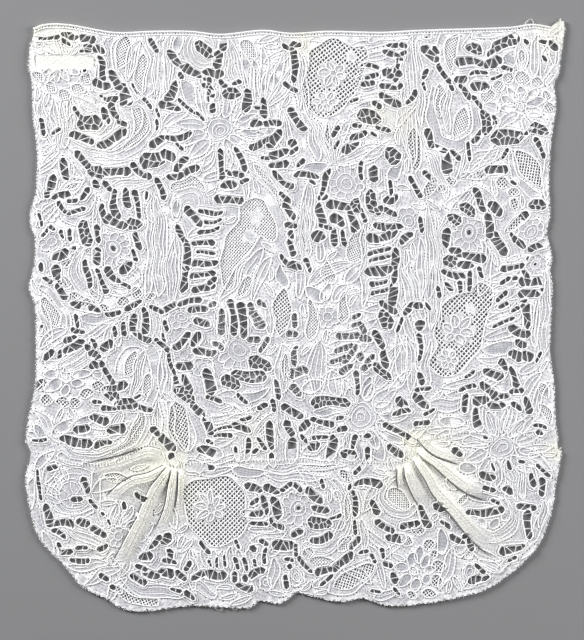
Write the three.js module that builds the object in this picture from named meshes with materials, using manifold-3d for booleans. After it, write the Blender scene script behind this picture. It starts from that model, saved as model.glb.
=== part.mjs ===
// A flat cravat end of bobbin lace: an upper panel, a pleated lower border, a whipped
// heading, a blank tape and a patch of mending net behind the worn middle.
// Millimetres, +Z up. It lies flat on z = 0 with the heading towards +Y and the origin
// at the bottom centre of its box.
import * as THREE from 'three';
import { mergeVertices } from 'three/addons/utils/BufferGeometryUtils.js';
import Module from 'manifold-3d';

const wasm = await Module();
wasm.setup();

// ---- driving sizes ----
const square = 0.65;            // one square of the lace maker's pricking, which charts every place
const centreColumn = 295.75;    // squares, the middle of the width
const centreRow = 315.608;      // squares, the middle of the length, rows count down from the heading
const laceWall = 2.2;           // thickness of the lace panels, raised outlines included
const underWall = 0.9;          // thickness of the tape and the mending net behind them
const seamGap = 0.3;            // clearance between pieces
const seamShare = 0.25;         // each side's drop from the border seam, which is steep in places
const footingDepth = 2.8;       // depth of the whipped heading
const footingWall = 2.6;        // thickness of the whipped heading
const gapLeast = 4.05;          // narrowest gap that is cut through
const gapLong = 6.8;            // shortest length of one gap along its run
const barWidth = 1.15;          // bar left between two gaps of a run
const barLeast = 0.95;          // least bar to a neighbouring gap or to the cloth's edge
const gapsAtMost = 300;
const curveStep = 9;            // spacing of the points that follow a curved edge

const white = { roughness: 0.85, metalness: 0 };
const laceColour = 0xe9e8ea;
const borderColour = 0xebe9e4;
const tapeColour = 0xf6f2e6;
const netColour = 0xcfcdcb;

// ---- the edges, as [column, row] on the pricking ----
const headingLine = [
  [34, 28], [46, 24], [70, 24.5], [114, 32], [152, 31], [190, 31], [222, 34], [262, 30],
  [292, 33], [330, 31], [380, 32], [420, 30], [470, 28.5], [510, 27], [532, 24], [552, 26],
];
const headingCorner = [[558, 22], [564, 21], [565, 28]];
const rightEdge = [
  [562, 42], [558, 72], [553, 84], [555, 106], [550, 143], [548, 180], [549, 214], [546, 233],
  [551, 256], [549, 269], [551, 284], [550, 320], [549, 353], [553, 382], [554, 414], [557, 440],
];
const rightCorner = [
  [561, 452], [557, 473], [554, 488], [552, 506], [541, 539], [524, 561], [493, 585],
  [470, 594], [430, 602],
];
const bottomEdge = [
  [389, 605], [364, 598], [339, 601], [311, 595], [296, 592], [280, 603], [261, 600],
  [247, 607], [215, 606], [190, 605], [149, 610], [126, 609],
];
const leftCorner = [[106, 598], [83, 586], [66, 566], [41, 539], [31, 509], [26.5, 480], [29, 466]];
const leftEdge = [
  [26.5, 442], [30, 416], [36, 386], [37, 343], [36, 306], [30, 288], [35, 266], [36, 241],
  [31, 218], [37, 190], [38, 150], [34, 115], [33, 84], [30, 68], [31, 44],
];
// The seam between the panel and the border, from the left edge to the right edge.
const seamLine = [
  [31, 452], [50, 456], [72, 463], [100, 465], [125, 458], [143, 448], [157, 443], [164, 456],
  [172, 466], [200, 463], [260, 461], [320, 461], [360, 463], [400, 462], [411, 455], [418, 442],
  [436, 439], [455, 434], [486, 432], [507, 429], [532, 438], [558, 449],
];

// ---- runs of open ground between the motifs, as [column, row, column, row, width] ----
const groundRuns = [
  // beside the tape and round the two paisleys at the left of the heading
  [62, 33, 76, 34, 10], [80, 37, 92, 40, 8], [91, 46, 101, 50, 9], [99, 58, 105, 79, 7],
  [96, 82, 108, 86, 8], [112, 72, 118, 88, 9], [121, 88, 128, 102, 9], [112, 103, 117, 118, 8],
  [104, 110, 106, 122, 8], [82, 123, 96, 123, 14], [72, 133, 92, 144, 8], [101, 146, 124, 133, 9],
  [76, 153, 90, 169, 7], [64, 163, 67, 177, 9], [53, 178, 50, 190, 7], [92, 172, 101, 172, 12],
  [105, 172, 128, 173, 8], [132, 167, 150, 177, 8], [104, 182, 108, 188, 7], [145, 160, 158, 160, 14],
  [162, 154, 173, 158, 8], [153, 146, 164, 140, 7], [168, 139, 190, 135, 7], [176, 168, 186, 160, 9],
  [170, 177, 198, 170, 7], [157, 182, 165, 197, 7], [163, 105, 178, 109, 8], [167, 100, 176, 84, 9],
  [172, 52, 176, 64, 9], [180, 64, 200, 76, 9], [199, 47, 211, 52, 11], [203, 82, 211, 92, 9],
  [55, 198, 67, 197, 9], [113, 190, 116, 217, 7], [126, 190, 128, 208, 6.5], [150, 37, 157, 52, 7],
  // the bud spray and the star flower at the left of the middle
  [222, 37, 224, 49, 7], [219, 52, 216, 66, 8], [206, 72, 222, 74, 9], [209, 80, 208, 98, 7],
  [227, 95, 235, 95, 13], [246, 90, 248, 110, 8], [262, 101, 264, 117, 8], [254, 124, 278, 124, 9],
  [285, 37, 299, 45, 9], [295, 52, 294, 80, 6.5], [292, 111, 303, 130, 7], [271, 144, 280, 133, 9],
  [251, 148, 262, 143, 8], [291, 142, 294, 147, 8], [272, 156, 284, 151, 9], [272, 167, 285, 164, 7],
  [276, 174, 292, 188, 7], [297, 175, 318, 176, 8], [321, 194, 329, 172, 6.5], [221, 152, 222, 178, 6.5],
  [236, 175, 243, 174, 8], [223, 187, 233, 186, 8], [217, 199, 243, 200, 7],
  // right of the middle, up to the heading
  [345, 149, 358, 142, 9], [352, 137, 366, 133, 6.5], [361, 117, 377, 118, 13], [386, 52, 400, 59, 8],
  [384, 71, 400, 76, 9], [382, 85, 400, 86, 7], [380, 96, 400, 106, 9], [396, 36, 409, 36, 7],
  [373, 168, 375, 181, 8], [390, 152, 396, 160, 11], [386, 199, 395, 199, 8], [354, 202, 359, 209, 10],
  [371, 195, 374, 210, 10], [425, 49, 435, 60, 8], [456, 78, 466, 79, 7], [461, 84, 469, 99, 8.5],
  [458, 62, 480, 63, 9], [486, 63, 499, 60, 9], [470, 47, 478, 50, 10], [497, 48, 516, 38, 10],
  [475, 86, 485, 87, 9], [474, 98, 481, 106, 7], [485, 113, 487, 130, 12], [497, 138, 520, 137, 14],
  [523, 137, 530, 130, 7], [533, 127, 543, 131, 12], [475, 142, 481, 132, 8], [426, 132, 434, 146, 7],
  [444, 153, 448, 170, 9], [489, 170, 505, 171, 8], [534, 204, 542, 205, 10], [425, 70, 425, 77, 7],
  [474, 192, 485, 210, 7], [493, 204, 498, 214, 9],
  // left edge below the scroll, and the comb beside the cartouche
  [108, 218, 123, 225, 9], [102, 207, 107, 220, 7], [129, 224, 139, 224, 11], [81, 225, 88, 242, 10],
  [98, 228, 98, 241, 7], [55, 258, 66, 252, 8], [56, 268, 57, 284, 9], [58, 287, 66, 297, 7],
  [74, 304, 97, 312, 7], [96, 250, 97, 264, 7], [107, 268, 117, 280, 9], [124, 271, 131, 264, 8],
  [135, 234, 138, 247, 6.5], [65, 340, 76, 337, 7], [66, 352, 82, 343, 8], [45, 356, 51, 352, 8],
  [90, 354, 99, 357, 9], [92, 366, 104, 365, 7], [102, 347, 111, 343, 9], [144, 310, 145, 331, 7],
  [133, 316, 134, 332, 6.5], [136, 333, 150, 341, 6.5], [110, 388, 125, 386, 8], [173, 348, 188, 336, 7],
  [178, 226, 186, 244, 8], [186, 246, 186, 266, 8], [186, 268, 184, 290, 8], [188, 210, 198, 224, 8],
  [193, 264, 216, 262, 7], [194, 245, 212, 243, 6.5], [193, 276, 213, 273, 6.5], [194, 292, 212, 286, 7],
  [195, 321, 208, 325, 9], [194, 344, 200, 337, 9], [196, 351, 213, 353, 8], [180, 367, 191, 367, 9],
  [183, 378, 189, 392, 8],
  // the middle, where the mending net shows through
  [232, 304, 234, 334, 8], [242, 306, 245, 334, 9], [252, 312, 262, 328, 9], [253, 361, 268, 368, 14],
  [236, 374, 262, 378, 10], [206, 373, 213, 392, 9], [224, 380, 236, 386, 13], [291, 264, 299, 269, 8],
  [287, 206, 292, 217, 8], [320, 205, 322, 226, 8], [331, 206, 348, 208, 9], [331, 218, 342, 223, 9],
  [316, 235, 323, 238, 9], [351, 212, 356, 229, 8], [333, 230, 335, 246, 6.5], [374, 227, 400, 228, 7],
  [370, 239, 396, 234, 8], [369, 274, 390, 269, 9], [394, 250, 395, 280, 8], [394, 284, 394, 304, 8],
  [382, 304, 394, 312, 9], [382, 314, 388, 324, 10], [339, 338, 358, 336, 6.5], [362, 336, 370, 340, 8],
  [377, 332, 380, 347, 8], [376, 366, 388, 376, 10], [382, 353, 388, 364, 8], [291, 374, 307, 369, 9],
  [276, 383, 279, 396, 7],
  // right of the middle, below the right scroll
  [403, 244, 410, 234, 7], [450, 217, 457, 222, 10], [447, 232, 447, 244, 7], [452, 249, 459, 250, 7],
  [463, 206, 473, 213, 10], [487, 216, 490, 234, 7], [493, 233, 504, 254, 8], [512, 229, 526, 213, 8],
  [514, 240, 524, 244, 8], [530, 249, 544, 243, 7], [504, 269, 522, 266, 7], [522, 281, 540, 281, 8],
  [522, 292, 537, 294, 9], [526, 306, 527, 324, 9], [512, 330, 529, 334, 9], [517, 341, 524, 346, 8],
  [511, 353, 521, 358, 9], [524, 355, 530, 358, 8], [501, 361, 506, 370, 8], [487, 372, 499, 378, 9],
  [513, 371, 515, 384, 8], [481, 384, 490, 389, 7], [446, 260, 455, 262, 12], [460, 256, 482, 258, 9],
  [462, 266, 470, 267, 9], [445, 273, 462, 276.5, 7], [420, 322, 421, 328, 9], [492, 391, 499, 397, 8],
  // lower part of the panel
  [105, 389, 117, 398, 11], [119, 404, 132, 405, 13], [91, 417, 107, 421, 8], [76, 430, 88, 430, 8],
  [63, 440, 88, 444, 8], [111, 429, 123, 429, 8], [160, 438, 172, 449, 7], [178, 388, 191, 400, 10],
  [192, 405, 202, 416, 8], [205, 420, 212, 431, 9], [201, 450, 218, 454, 9], [235, 427, 248, 430, 8],
  [284, 407, 300, 417, 7], [286, 422, 292, 436, 7], [271, 425, 271, 448, 7], [290, 442, 293, 459, 9],
  [303, 431, 309, 423, 9], [314, 402, 346, 402, 10], [332, 438, 332, 458, 9], [344, 454, 353, 456, 10],
  [309, 446, 317, 445, 8], [418, 394, 425, 406, 9], [398, 402, 406, 406, 9], [386, 425, 412, 440, 7],
  [388, 446, 402, 456, 7], [475, 404, 487, 398, 9], [491, 404, 502, 406, 9], [474, 412, 480, 427, 8],
  [526, 400, 530, 410, 8], [512, 391, 521, 391, 7],
  // the border
  [188, 466, 200, 468, 9], [51, 524, 73, 524, 8], [44, 507, 50, 520, 7], [62, 552, 72, 552, 7],
  [152, 547, 159, 538, 9], [164, 542, 169, 536, 9], [143, 557, 151, 557, 9], [145, 571, 156, 576, 8],
  [159, 572, 171, 574, 8], [131, 578, 146, 581, 7], [195, 580, 202, 573, 8], [205, 575, 224, 575, 9],
  [249, 575, 263, 571, 8], [240, 585, 251, 588, 7], [247, 486, 262, 492, 7], [267, 487, 277, 492, 9],
  [264, 500, 266, 512, 8], [274, 501, 279, 515, 8], [244, 513, 260, 513, 7], [272, 520, 283, 528, 8],
  [274, 545, 292, 545, 9], [310, 489, 319, 499, 9], [315, 508, 325, 510, 8], [311, 522, 330, 525, 10],
  [311, 540, 331, 537, 8], [317, 571, 334, 571, 7], [334, 568, 352, 554, 8], [350, 547, 357, 540, 7],
  [354, 493, 356, 513, 6.5], [357, 483, 379, 484, 7], [371, 502, 376, 514, 7], [480, 474, 493, 476, 8],
  [505, 490, 512, 493, 8], [520, 505, 532, 510, 8], [528, 514, 529, 535, 8], [467, 514, 500, 510, 7.5],
  [419, 508, 429, 526, 7], [402, 529, 418, 522, 7], [452, 535, 462, 542, 7], [465, 536, 471, 550, 6.5],
  [502, 552, 522, 546, 8], [470, 581, 486, 578, 7], [541, 482, 542, 494, 7], [388, 536, 402, 540, 8],
];

// ---- folds of the border, raised along a path from the gather to the outer edge ----
// fromColumn, fromRow, toColumn, toRow: the fold edge; bend: how far its middle bows, in squares
// liftNear, liftFar: height of the fold edge over the table; spanNear, spanFar: width of the
// pleat behind it, in mm; side: +1 when the pleat lies to the right of the path, -1 to the left
const folds = [
  [160, 452, 96, 470, 2, 4.2, 2.9, 5, 9, -1],
  [164, 461, 103, 492, 1, 4.5, 2.9, 4, 8, 1],
  [167, 471, 112, 568, 5, 5.0, 3.1, 5, 12, -1],
  [173, 471, 157, 530, 3, 4.7, 2.9, 4, 8, -1],
  [179, 472, 176, 516, 1, 4.3, 2.8, 3.5, 6, -1],
  [422, 447, 456, 464, -2, 4.3, 2.9, 4, 8, 1],
  [421, 455, 486, 501, 2, 4.8, 3.0, 4.5, 9, 1],
  [417, 463, 484, 552, -4, 5.0, 3.1, 4.5, 10, 1],
  [410, 467, 447, 517, -2, 4.5, 2.9, 4, 8, 1],
  [404, 470, 421, 506, -3, 4.3, 2.9, 4, 8, 1],
  [398, 470, 397, 492, 0, 3.6, 2.8, 3.5, 5, 1],
].map(([fromColumn, fromRow, toColumn, toRow, bend, liftNear, liftFar, spanNear, spanFar, side]) => (
  { fromColumn, fromRow, toColumn, toRow, bend, liftNear, liftFar, spanNear, spanFar, side }));

// ---- the pieces behind the lace ----
const tape = { left: 31, right: 97, top: 53.5, bottom: 69.5, frayTeeth: 5, frayDepth: 3.2 };
const netPatch = [
  [212, 296], [232, 288], [252, 286], [270, 296], [286, 292], [300, 300], [306, 330], [330, 322],
  [352, 312], [372, 318], [374, 346], [362, 372], [348, 392], [322, 386], [306, 396], [282, 400],
  [262, 392], [236, 394], [214, 372], [205, 340],
];

// ---- helpers in the plane ----
const place = ([column, row]) => (
  new THREE.Vector2((column - centreColumn) * square, (centreRow - row) * square));

function smooth(points) {
  const curve = new THREE.CatmullRomCurve3(points.map((p) => new THREE.Vector3(p.x, p.y, 0)));
  const count = Math.max(points.length, Math.round(curve.getLength() / curveStep));
  return curve.getSpacedPoints(count).map((p) => new THREE.Vector2(p.x, p.y));
}

const shifted = (points, dy) => points.map((p) => new THREE.Vector2(p.x, p.y + dy));

function distanceToSegment(p, a, b) {
  const along = b.clone().sub(a);
  const t = THREE.MathUtils.clamp(p.clone().sub(a).dot(along) / along.lengthSq(), 0, 1);
  return p.distanceTo(a.clone().addScaledVector(along, t));
}

function distanceToRing(p, ring) {
  return Math.min(...ring.map((a, i) => distanceToSegment(p, a, ring[(i + 1) % ring.length])));
}

function inside(p, ring) {
  let odd = false;
  ring.forEach((a, i) => {
    const b = ring[(i + 1) % ring.length];
    const crosses = (a.y > p.y) !== (b.y > p.y);
    if (crosses && p.x < a.x + (b.x - a.x) * (p.y - a.y) / (b.y - a.y)) odd = !odd;
  });
  return odd;
}

// ---- outlines ----
const heading = smooth(headingLine.map(place));
const corner = headingCorner.map(place);
const rightSide = smooth(rightEdge.map(place));
const leftSide = smooth(leftEdge.map(place));
const borderEdge = smooth([...rightCorner, ...bottomEdge, ...leftCorner].map(place));
const seam = smooth(seamLine.map(place));

const footingOutline = [...heading, ...shifted(heading, -footingDepth).reverse()];
const panelTop = shifted(heading.slice(0, -1), -footingDepth - seamGap);
const footingEnd = heading[heading.length - 1];
const pastFooting = [footingDepth + seamGap, seamGap].map((drop) => (
  new THREE.Vector2(footingEnd.x + seamGap, footingEnd.y - drop)));
const panelOutline = [
  ...panelTop, ...pastFooting, ...corner,
  ...rightSide, ...shifted(seam, seamShare).reverse(), ...leftSide,
];
const borderOutline = [...shifted(seam, -seamShare), ...borderEdge];

function tapeOutline() {
  const { left, right, top, bottom, frayTeeth, frayDepth } = tape;
  const ragged = (column, outward, fromRow, toRow) => {
    const points = [];
    for (let i = 0; i <= frayTeeth * 2; i++) {
      const reach = (i % 2) * frayDepth * (1 - 0.3 * Math.sin(i * 2.1)) * outward;
      points.push(place([column + reach, fromRow + (toRow - fromRow) * i / (frayTeeth * 2)]));
    }
    return points;
  };
  return [...ragged(right, 1, top + 3, bottom), ...ragged(left, -1, bottom, top)];
}
const tapeRing = tapeOutline();
const netRing = smooth([...netPatch, netPatch[0]].map(place)).slice(0, -1);

// ---- gaps between the motifs ----
// A run is broken by bars into gaps, each a six-sided opening that is pointed along the run.
function gapsOf([fromColumn, fromRow, toColumn, toRow, widthSquares]) {
  const from = place([fromColumn, fromRow]);
  const to = place([toColumn, toRow]);
  const width = Math.max(widthSquares * square, gapLeast);
  const direction = to.clone().sub(from).normalize();
  const across = new THREE.Vector2(-direction.y, direction.x);
  const start = from.clone().addScaledVector(direction, -width / 3);
  const length = from.distanceTo(to) + width * 2 / 3;
  const rows = width > 2 * gapLong ? 2 : 1;
  const columns = Math.max(1, Math.floor((length + barWidth) / (gapLong + barWidth)));
  const pitch = (length + barWidth) / columns;
  const half = Math.max((pitch - barWidth) / 2, gapLeast / 2);
  const halfAcross = (width - barWidth * (rows - 1)) / rows / 2;
  const gaps = [];
  for (let row = 0; row < rows; row++) {
    for (let i = 0; i < columns; i++) {
      const side = (row - (rows - 1) / 2) * (2 * halfAcross + barWidth);
      const middle = start.clone().addScaledVector(direction, pitch * i + half).addScaledVector(across, side);
      const lean = 0.18 * Math.sin(i * 2.4 + fromColumn);
      const points = [[1, lean], [0.55, 1], [-0.55, 1], [-1, -lean], [-0.55, -1], [0.55, -1]];
      gaps.push(points.map(([u, v]) => middle.clone()
        .addScaledVector(direction, u * half).addScaledVector(across, v * halfAcross)));
    }
  }
  return gaps;
}

const ringArea = (ring) => Math.abs(THREE.ShapeUtils.area(ring));
const ringMiddle = (ring) => (
  ring.reduce((sum, p) => sum.add(p), new THREE.Vector2()).divideScalar(ring.length));

function clearOf(ring, other, least) {
  if (ring.some((p) => inside(p, other)) || other.some((p) => inside(p, ring))) return false;
  return Math.min(...ring.map((p) => distanceToRing(p, other)),
    ...other.map((p) => distanceToRing(p, ring))) >= least;
}

// The largest gaps are cut first, and one that would leave too thin a bar is left as cloth.
function gapsIn(outline, blocked) {
  const wanted = groundRuns.flatMap(gapsOf).sort((a, b) => ringArea(b) - ringArea(a));
  const kept = [];
  for (const ring of wanted) {
    const middle = ringMiddle(ring);
    const near = kept.filter((other) => ringMiddle(other).distanceTo(middle) < 20);
    const within = ring.every((p) => inside(p, outline) && distanceToRing(p, outline) >= barLeast);
    const free = within && near.every((other) => clearOf(ring, other, barLeast));
    if (free && blocked.every((other) => clearOf(ring, other, barLeast))) kept.push(ring);
  }
  return kept;
}

// Of several lists of gaps, those that are among the largest that may be cut.
function largest(lists) {
  const areas = lists.flat().map(ringArea).sort((a, b) => b - a);
  const least = areas[Math.min(gapsAtMost, areas.length) - 1];
  return lists.map((list) => list.filter((ring) => ringArea(ring) >= least));
}

// ---- solids ----
function plate(outline, holes, thickness) {
  const shape = new THREE.Shape(outline);
  shape.holes = holes.map((ring) => new THREE.Path(ring));
  const geometry = new THREE.ExtrudeGeometry(shape, { depth: thickness, bevelEnabled: false });
  return closed(geometry);
}

function closed(geometry) {
  geometry.deleteAttribute('normal');
  geometry.deleteAttribute('uv');
  return mergeVertices(geometry, 1e-4);
}

// The room that the underside of the lace leaves for a piece behind it.
function recess(ring) {
  const geometry = plate(ring, [], underWall + 2 * seamGap);
  geometry.translate(0, 0, -seamGap);
  return toManifold(geometry);
}

// The ring moved outwards by a clearance.
function grown(ring, by) {
  const turn = Math.sign(THREE.ShapeUtils.area(ring));
  return ring.map((p, i) => {
    const before = ring[(i + ring.length - 1) % ring.length];
    const along = ring[(i + 1) % ring.length].clone().sub(before).normalize();
    return new THREE.Vector2(p.x + along.y * by * turn, p.y - along.x * by * turn);
  });
}

function tapeRoom() {
  const { left, right, top, bottom, frayDepth } = tape;
  const spare = seamGap / square;
  const corners = [[left - 2 * frayDepth, top], [right + frayDepth, top], [right + frayDepth, bottom],
    [left - 2 * frayDepth, bottom]];
  return corners.map(([column, row]) => (
    place([column + spare, row + (row > top ? spare : -spare)])));
}

// A pleat is a tapered fold: its edge stands up sharply and its back slopes down to the cloth.
const foldSteps = 5;
const foldSection = [        // across: share of the span; up: share of the lift, over the cloth's own wall
  { across: 0, up: 0 }, { across: -0.05, up: 0.55 }, { across: 0.04, up: 0.95 },
  { across: 0.16, up: 1 }, { across: 0.55, up: 0.7 }, { across: 1, up: 0 },
];
function pleat({ fromColumn, fromRow, toColumn, toRow, bend, liftNear, liftFar, spanNear, spanFar, side }) {
  const from = place([fromColumn, fromRow]);
  const to = place([toColumn, toRow]);
  const direction = to.clone().sub(from).normalize();
  const behind = new THREE.Vector2(direction.y, -direction.x).multiplyScalar(side);
  const foot = laceWall / 2;
  const positions = [];
  for (let step = 0; step <= foldSteps; step++) {
    const t = step / foldSteps;
    const bow = Math.sin(Math.PI * t) * bend * square * side;
    const origin = from.clone().lerp(to, t).addScaledVector(behind, bow);
    const span = THREE.MathUtils.lerp(spanNear, spanFar, t);
    const lift = THREE.MathUtils.lerp(liftNear, liftFar, Math.sqrt(t)) - foot;
    for (const { across, up } of foldSection) {
      const p = origin.clone().addScaledVector(behind, across * span);
      positions.push(p.x, p.y, foot + up * lift);
    }
  }
  const ring = foldSection.length;
  const faces = [];
  for (let step = 0; step < foldSteps; step++) {
    for (let i = 0; i < ring; i++) {
      const [a, b] = [step * ring + i, step * ring + (i + 1) % ring];
      faces.push(a, b, b + ring, a, b + ring, a + ring);
    }
  }
  for (let i = 1; i < ring - 1; i++) {
    faces.push(0, i + 1, i);
    faces.push(foldSteps * ring, foldSteps * ring + i, foldSteps * ring + i + 1);
  }
  if (side < 0) faces.reverse();
  const geometry = new THREE.BufferGeometry();
  geometry.setAttribute('position', new THREE.Float32BufferAttribute(positions, 3));
  geometry.setIndex(faces);
  return geometry;
}

function toManifold(geometry) {
  return new wasm.Manifold(new wasm.Mesh({
    numProp: 3,
    vertProperties: Float32Array.from(geometry.getAttribute('position').array),
    triVerts: Uint32Array.from(geometry.getIndex().array),
  }));
}

function fromManifold(solid) {
  const mesh = solid.getMesh();
  const geometry = new THREE.BufferGeometry();
  geometry.setAttribute('position', new THREE.BufferAttribute(mesh.vertProperties, 3));
  geometry.setIndex(new THREE.BufferAttribute(mesh.triVerts, 1));
  return geometry;
}

function foldRing({ fromColumn, fromRow, toColumn, toRow, spanFar }) {
  const [from, to] = [place([fromColumn, fromRow]), place([toColumn, toRow])];
  const direction = to.clone().sub(from).normalize();
  const across = new THREE.Vector2(-direction.y, direction.x).multiplyScalar(spanFar / 2);
  return [from, to.clone().add(across), to.clone().sub(across)];
}

// ---- the nodes ----
const lace = new THREE.Group();

function addNode(name, geometry, color) {
  geometry.computeVertexNormals();
  const mesh = new THREE.Mesh(geometry, new THREE.MeshStandardMaterial({ color, ...white }));
  mesh.name = name;
  lace.add(mesh);
}

const [panelGaps, borderGaps] = largest([
  gapsIn(panelOutline, []), gapsIn(borderOutline, folds.map(foldRing))]);

let panel = toManifold(plate(panelOutline, panelGaps, laceWall));
for (const ring of [tapeRoom(), grown(netRing, seamGap)]) panel = panel.subtract(recess(ring));
addNode('upper_panel', fromManifold(panel), laceColour);

let border = toManifold(plate(borderOutline, borderGaps, laceWall));
for (const fold of folds) border = border.add(toManifold(pleat(fold)));
addNode('lower_border', fromManifold(border), borderColour);

addNode('heading_footing', plate(footingOutline, [], footingWall), laceColour);
addNode('label_tape', plate(tapeRing, [], underWall), tapeColour);
addNode('mending_net', plate(netRing, [], underWall), netColour);

export default lace;
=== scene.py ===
import math
import random

import bpy
import numpy as np
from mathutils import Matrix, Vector
from mathutils.geometry import delaunay_2d_cdt


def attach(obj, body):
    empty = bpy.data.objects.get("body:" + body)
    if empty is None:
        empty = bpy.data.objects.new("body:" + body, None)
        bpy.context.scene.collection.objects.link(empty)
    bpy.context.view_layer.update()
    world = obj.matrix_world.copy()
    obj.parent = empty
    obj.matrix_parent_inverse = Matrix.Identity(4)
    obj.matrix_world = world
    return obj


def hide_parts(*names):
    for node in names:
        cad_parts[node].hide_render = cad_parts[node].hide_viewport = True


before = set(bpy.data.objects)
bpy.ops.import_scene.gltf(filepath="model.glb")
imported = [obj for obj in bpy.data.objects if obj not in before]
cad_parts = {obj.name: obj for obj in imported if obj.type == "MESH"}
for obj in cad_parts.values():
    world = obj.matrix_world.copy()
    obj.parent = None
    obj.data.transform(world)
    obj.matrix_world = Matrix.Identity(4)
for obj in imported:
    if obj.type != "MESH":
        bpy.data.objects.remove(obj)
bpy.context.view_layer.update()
random.seed(17)
draws = np.random.default_rng(17)

# the view: straight down on the lace
view = {"tall": 0.416, "aside": -0.00244, "down": -0.00285, "above": 1.2}
cameraData = bpy.data.cameras.new("camera")
cameraData.type, cameraData.ortho_scale = "ORTHO", view["tall"]
camera = bpy.data.objects.new("camera", cameraData)
camera.location = (view["aside"], view["down"], view["above"])
bpy.context.scene.collection.objects.link(camera)
bpy.context.scene.camera = camera

# Places on the lace are squares of its pricking, counted from the top left: [column, row].
chart = {
    "square": 0.00065,       # metres
    "middleColumn": 295.75,
    "middleRow": 315.608,    # rows count down from the heading
}


def toMetres(points):
    points = np.asarray(points, float)
    x = (points[:, 0] - chart["middleColumn"]) * chart["square"]
    y = (chart["middleRow"] - points[:, 1]) * chart["square"]
    return np.column_stack([x, y])


# curves and polygons on the chart

def smoothPath(points, spacing=3.0, closed=False):
    # Catmull-Rom through the points, evenly spaced; extra columns ride along
    points = np.asarray(points, float)
    if closed:
        padded = np.vstack([points[-1], points, points[0], points[1]])
    else:
        padded = np.vstack([2 * points[0] - points[1], points, 2 * points[-1] - points[-2]])
    fine = []
    for i in range(1, len(padded) - 2):
        p0, p1, p2, p3 = padded[i - 1:i + 3]
        for t in np.linspace(0, 1, 12, endpoint=False):
            fine.append(0.5 * (2 * p1 + (p2 - p0) * t + (2 * p0 - 5 * p1 + 4 * p2 - p3) * t * t
                               + (3 * p1 - p0 - 3 * p2 + p3) * t ** 3))
    fine.append(padded[-2])
    fine = np.array(fine)
    steps = np.hypot(*np.diff(fine[:, :2], axis=0).T)
    along = np.concatenate([[0], np.cumsum(steps)])
    count = max(2, int(round(along[-1] / spacing)))
    at = np.linspace(0, along[-1], count + 1)
    even = np.column_stack([np.interp(at, along, fine[:, k]) for k in range(fine.shape[1])])
    return even[:-1] if closed else even


def insidePolygon(points, ring):
    points, ring = np.asarray(points, float), np.asarray(ring, float)
    hit = np.zeros(len(points), bool)
    low, high = ring.min(0), ring.max(0)
    near = np.all((points >= low) & (points <= high), axis=1)
    if not near.any():
        return hit
    x, y = points[near, 0], points[near, 1]
    odd = np.zeros(len(x), bool)
    ends = np.roll(ring, -1, axis=0)
    for (ax, ay), (bx, by) in zip(ring, ends):
        if ay == by:
            continue
        crosses = (ay > y) != (by > y)
        odd ^= crosses & (x < ax + (bx - ax) * (y - ay) / (by - ay))
    hit[near] = odd
    return hit


# the edges
headingLine = [
    [34, 28], [46, 24], [70, 24.5], [114, 32], [152, 31], [190, 31], [222, 34], [262, 30],
    [292, 33], [330, 31], [380, 32], [420, 30], [470, 28.5], [510, 27], [532, 24], [550, 26.5],
]
headingCorner = [[557, 22], [564, 21]]
rightEdge = [
    [564.5, 29], [562, 42], [558, 72], [553, 84], [555, 106], [550, 143], [548, 180], [549, 214],
    [546, 233], [551, 256], [549, 269], [551, 284], [550, 320], [549, 353], [553, 382], [554, 414],
    [557, 440],
]
rightCorner = [
    [561, 452], [557, 473], [554, 488], [552, 506], [541, 539], [524, 561], [493, 585],
    [470, 594], [430, 602],
]
bottomEdge = [
    [389, 605], [364, 598], [339, 601], [311, 595], [296, 592], [280, 603], [261, 600],
    [247, 607], [215, 606], [190, 605], [149, 610], [126, 609],
]
leftCorner = [[106, 598], [83, 586], [66, 566], [41, 539], [31, 509], [26.5, 480], [29, 466]]
leftEdge = [
    [26.5, 442], [30, 416], [36, 386], [37, 343], [36, 306], [30, 288], [35, 266], [36, 241],
    [31, 218], [37, 190], [38, 150], [34, 115], [33, 84], [30, 68], [31, 44],
]
seamLine = [
    [31, 452], [50, 456], [72, 463], [100, 465], [125, 458], [143, 448], [157, 443], [164, 456],
    [172, 466], [200, 463], [260, 461], [320, 461], [360, 463], [400, 462], [411, 455], [418, 442],
    [436, 439], [455, 434], [486, 432], [507, 429], [532, 438], [558, 449],
]
footing = {
    "depth": 4.3,          # squares
    "pinPitch": 3.1,       # squares between two pin holes
    "pinDrop": 2.9,        # squares from the heading down to the pin holes
    "cordRadius": 0.00058,
    "stitchPitch": 2.4,
}

headingPath = smoothPath(headingLine)
seamPath = smoothPath(seamLine)
footingFoot = headingPath + [0, footing["depth"]]
scallop = {"pitch": 5.6, "depth": 1.9, "spacing": 1.4}


def frilled(edge):
    # an outer edge with the small scallops of its picots; the cloth lies to the right of it
    path = smoothPath(edge, scallop["spacing"])
    step = np.gradient(path, axis=0)
    across = np.column_stack([step[:, 1], -step[:, 0]]) / np.hypot(*step.T)[:, None]
    along = np.arange(len(path)) * scallop["spacing"]
    waves = np.abs(np.sin(along * math.pi / scallop["pitch"] + 0.6 * np.sin(along * 0.11)))
    waves = waves - 0.55 + 0.4 * np.sin(along * 0.37) * np.sin(along * 0.083)
    waves[:3], waves[-3:] = 0, 0
    return path + across * (scallop["depth"] * waves)[:, None]


hem = rightCorner + bottomEdge + leftCorner
panelRing, panelCut = (np.vstack([
    footingFoot, headingPath[-1:] + [0.6, 0.4], headingCorner, edge(rightEdge),
    seamPath[::-1] - [0, 0.15], edge(leftEdge)]) for edge in (smoothPath, frilled))
borderRing, borderCut = (np.vstack([seamPath + [0, 0.15], edge(hem)]) for edge in (smoothPath, frilled))
footingRing = np.vstack([headingPath, footingFoot[::-1] - [0, 0.2]])

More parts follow.
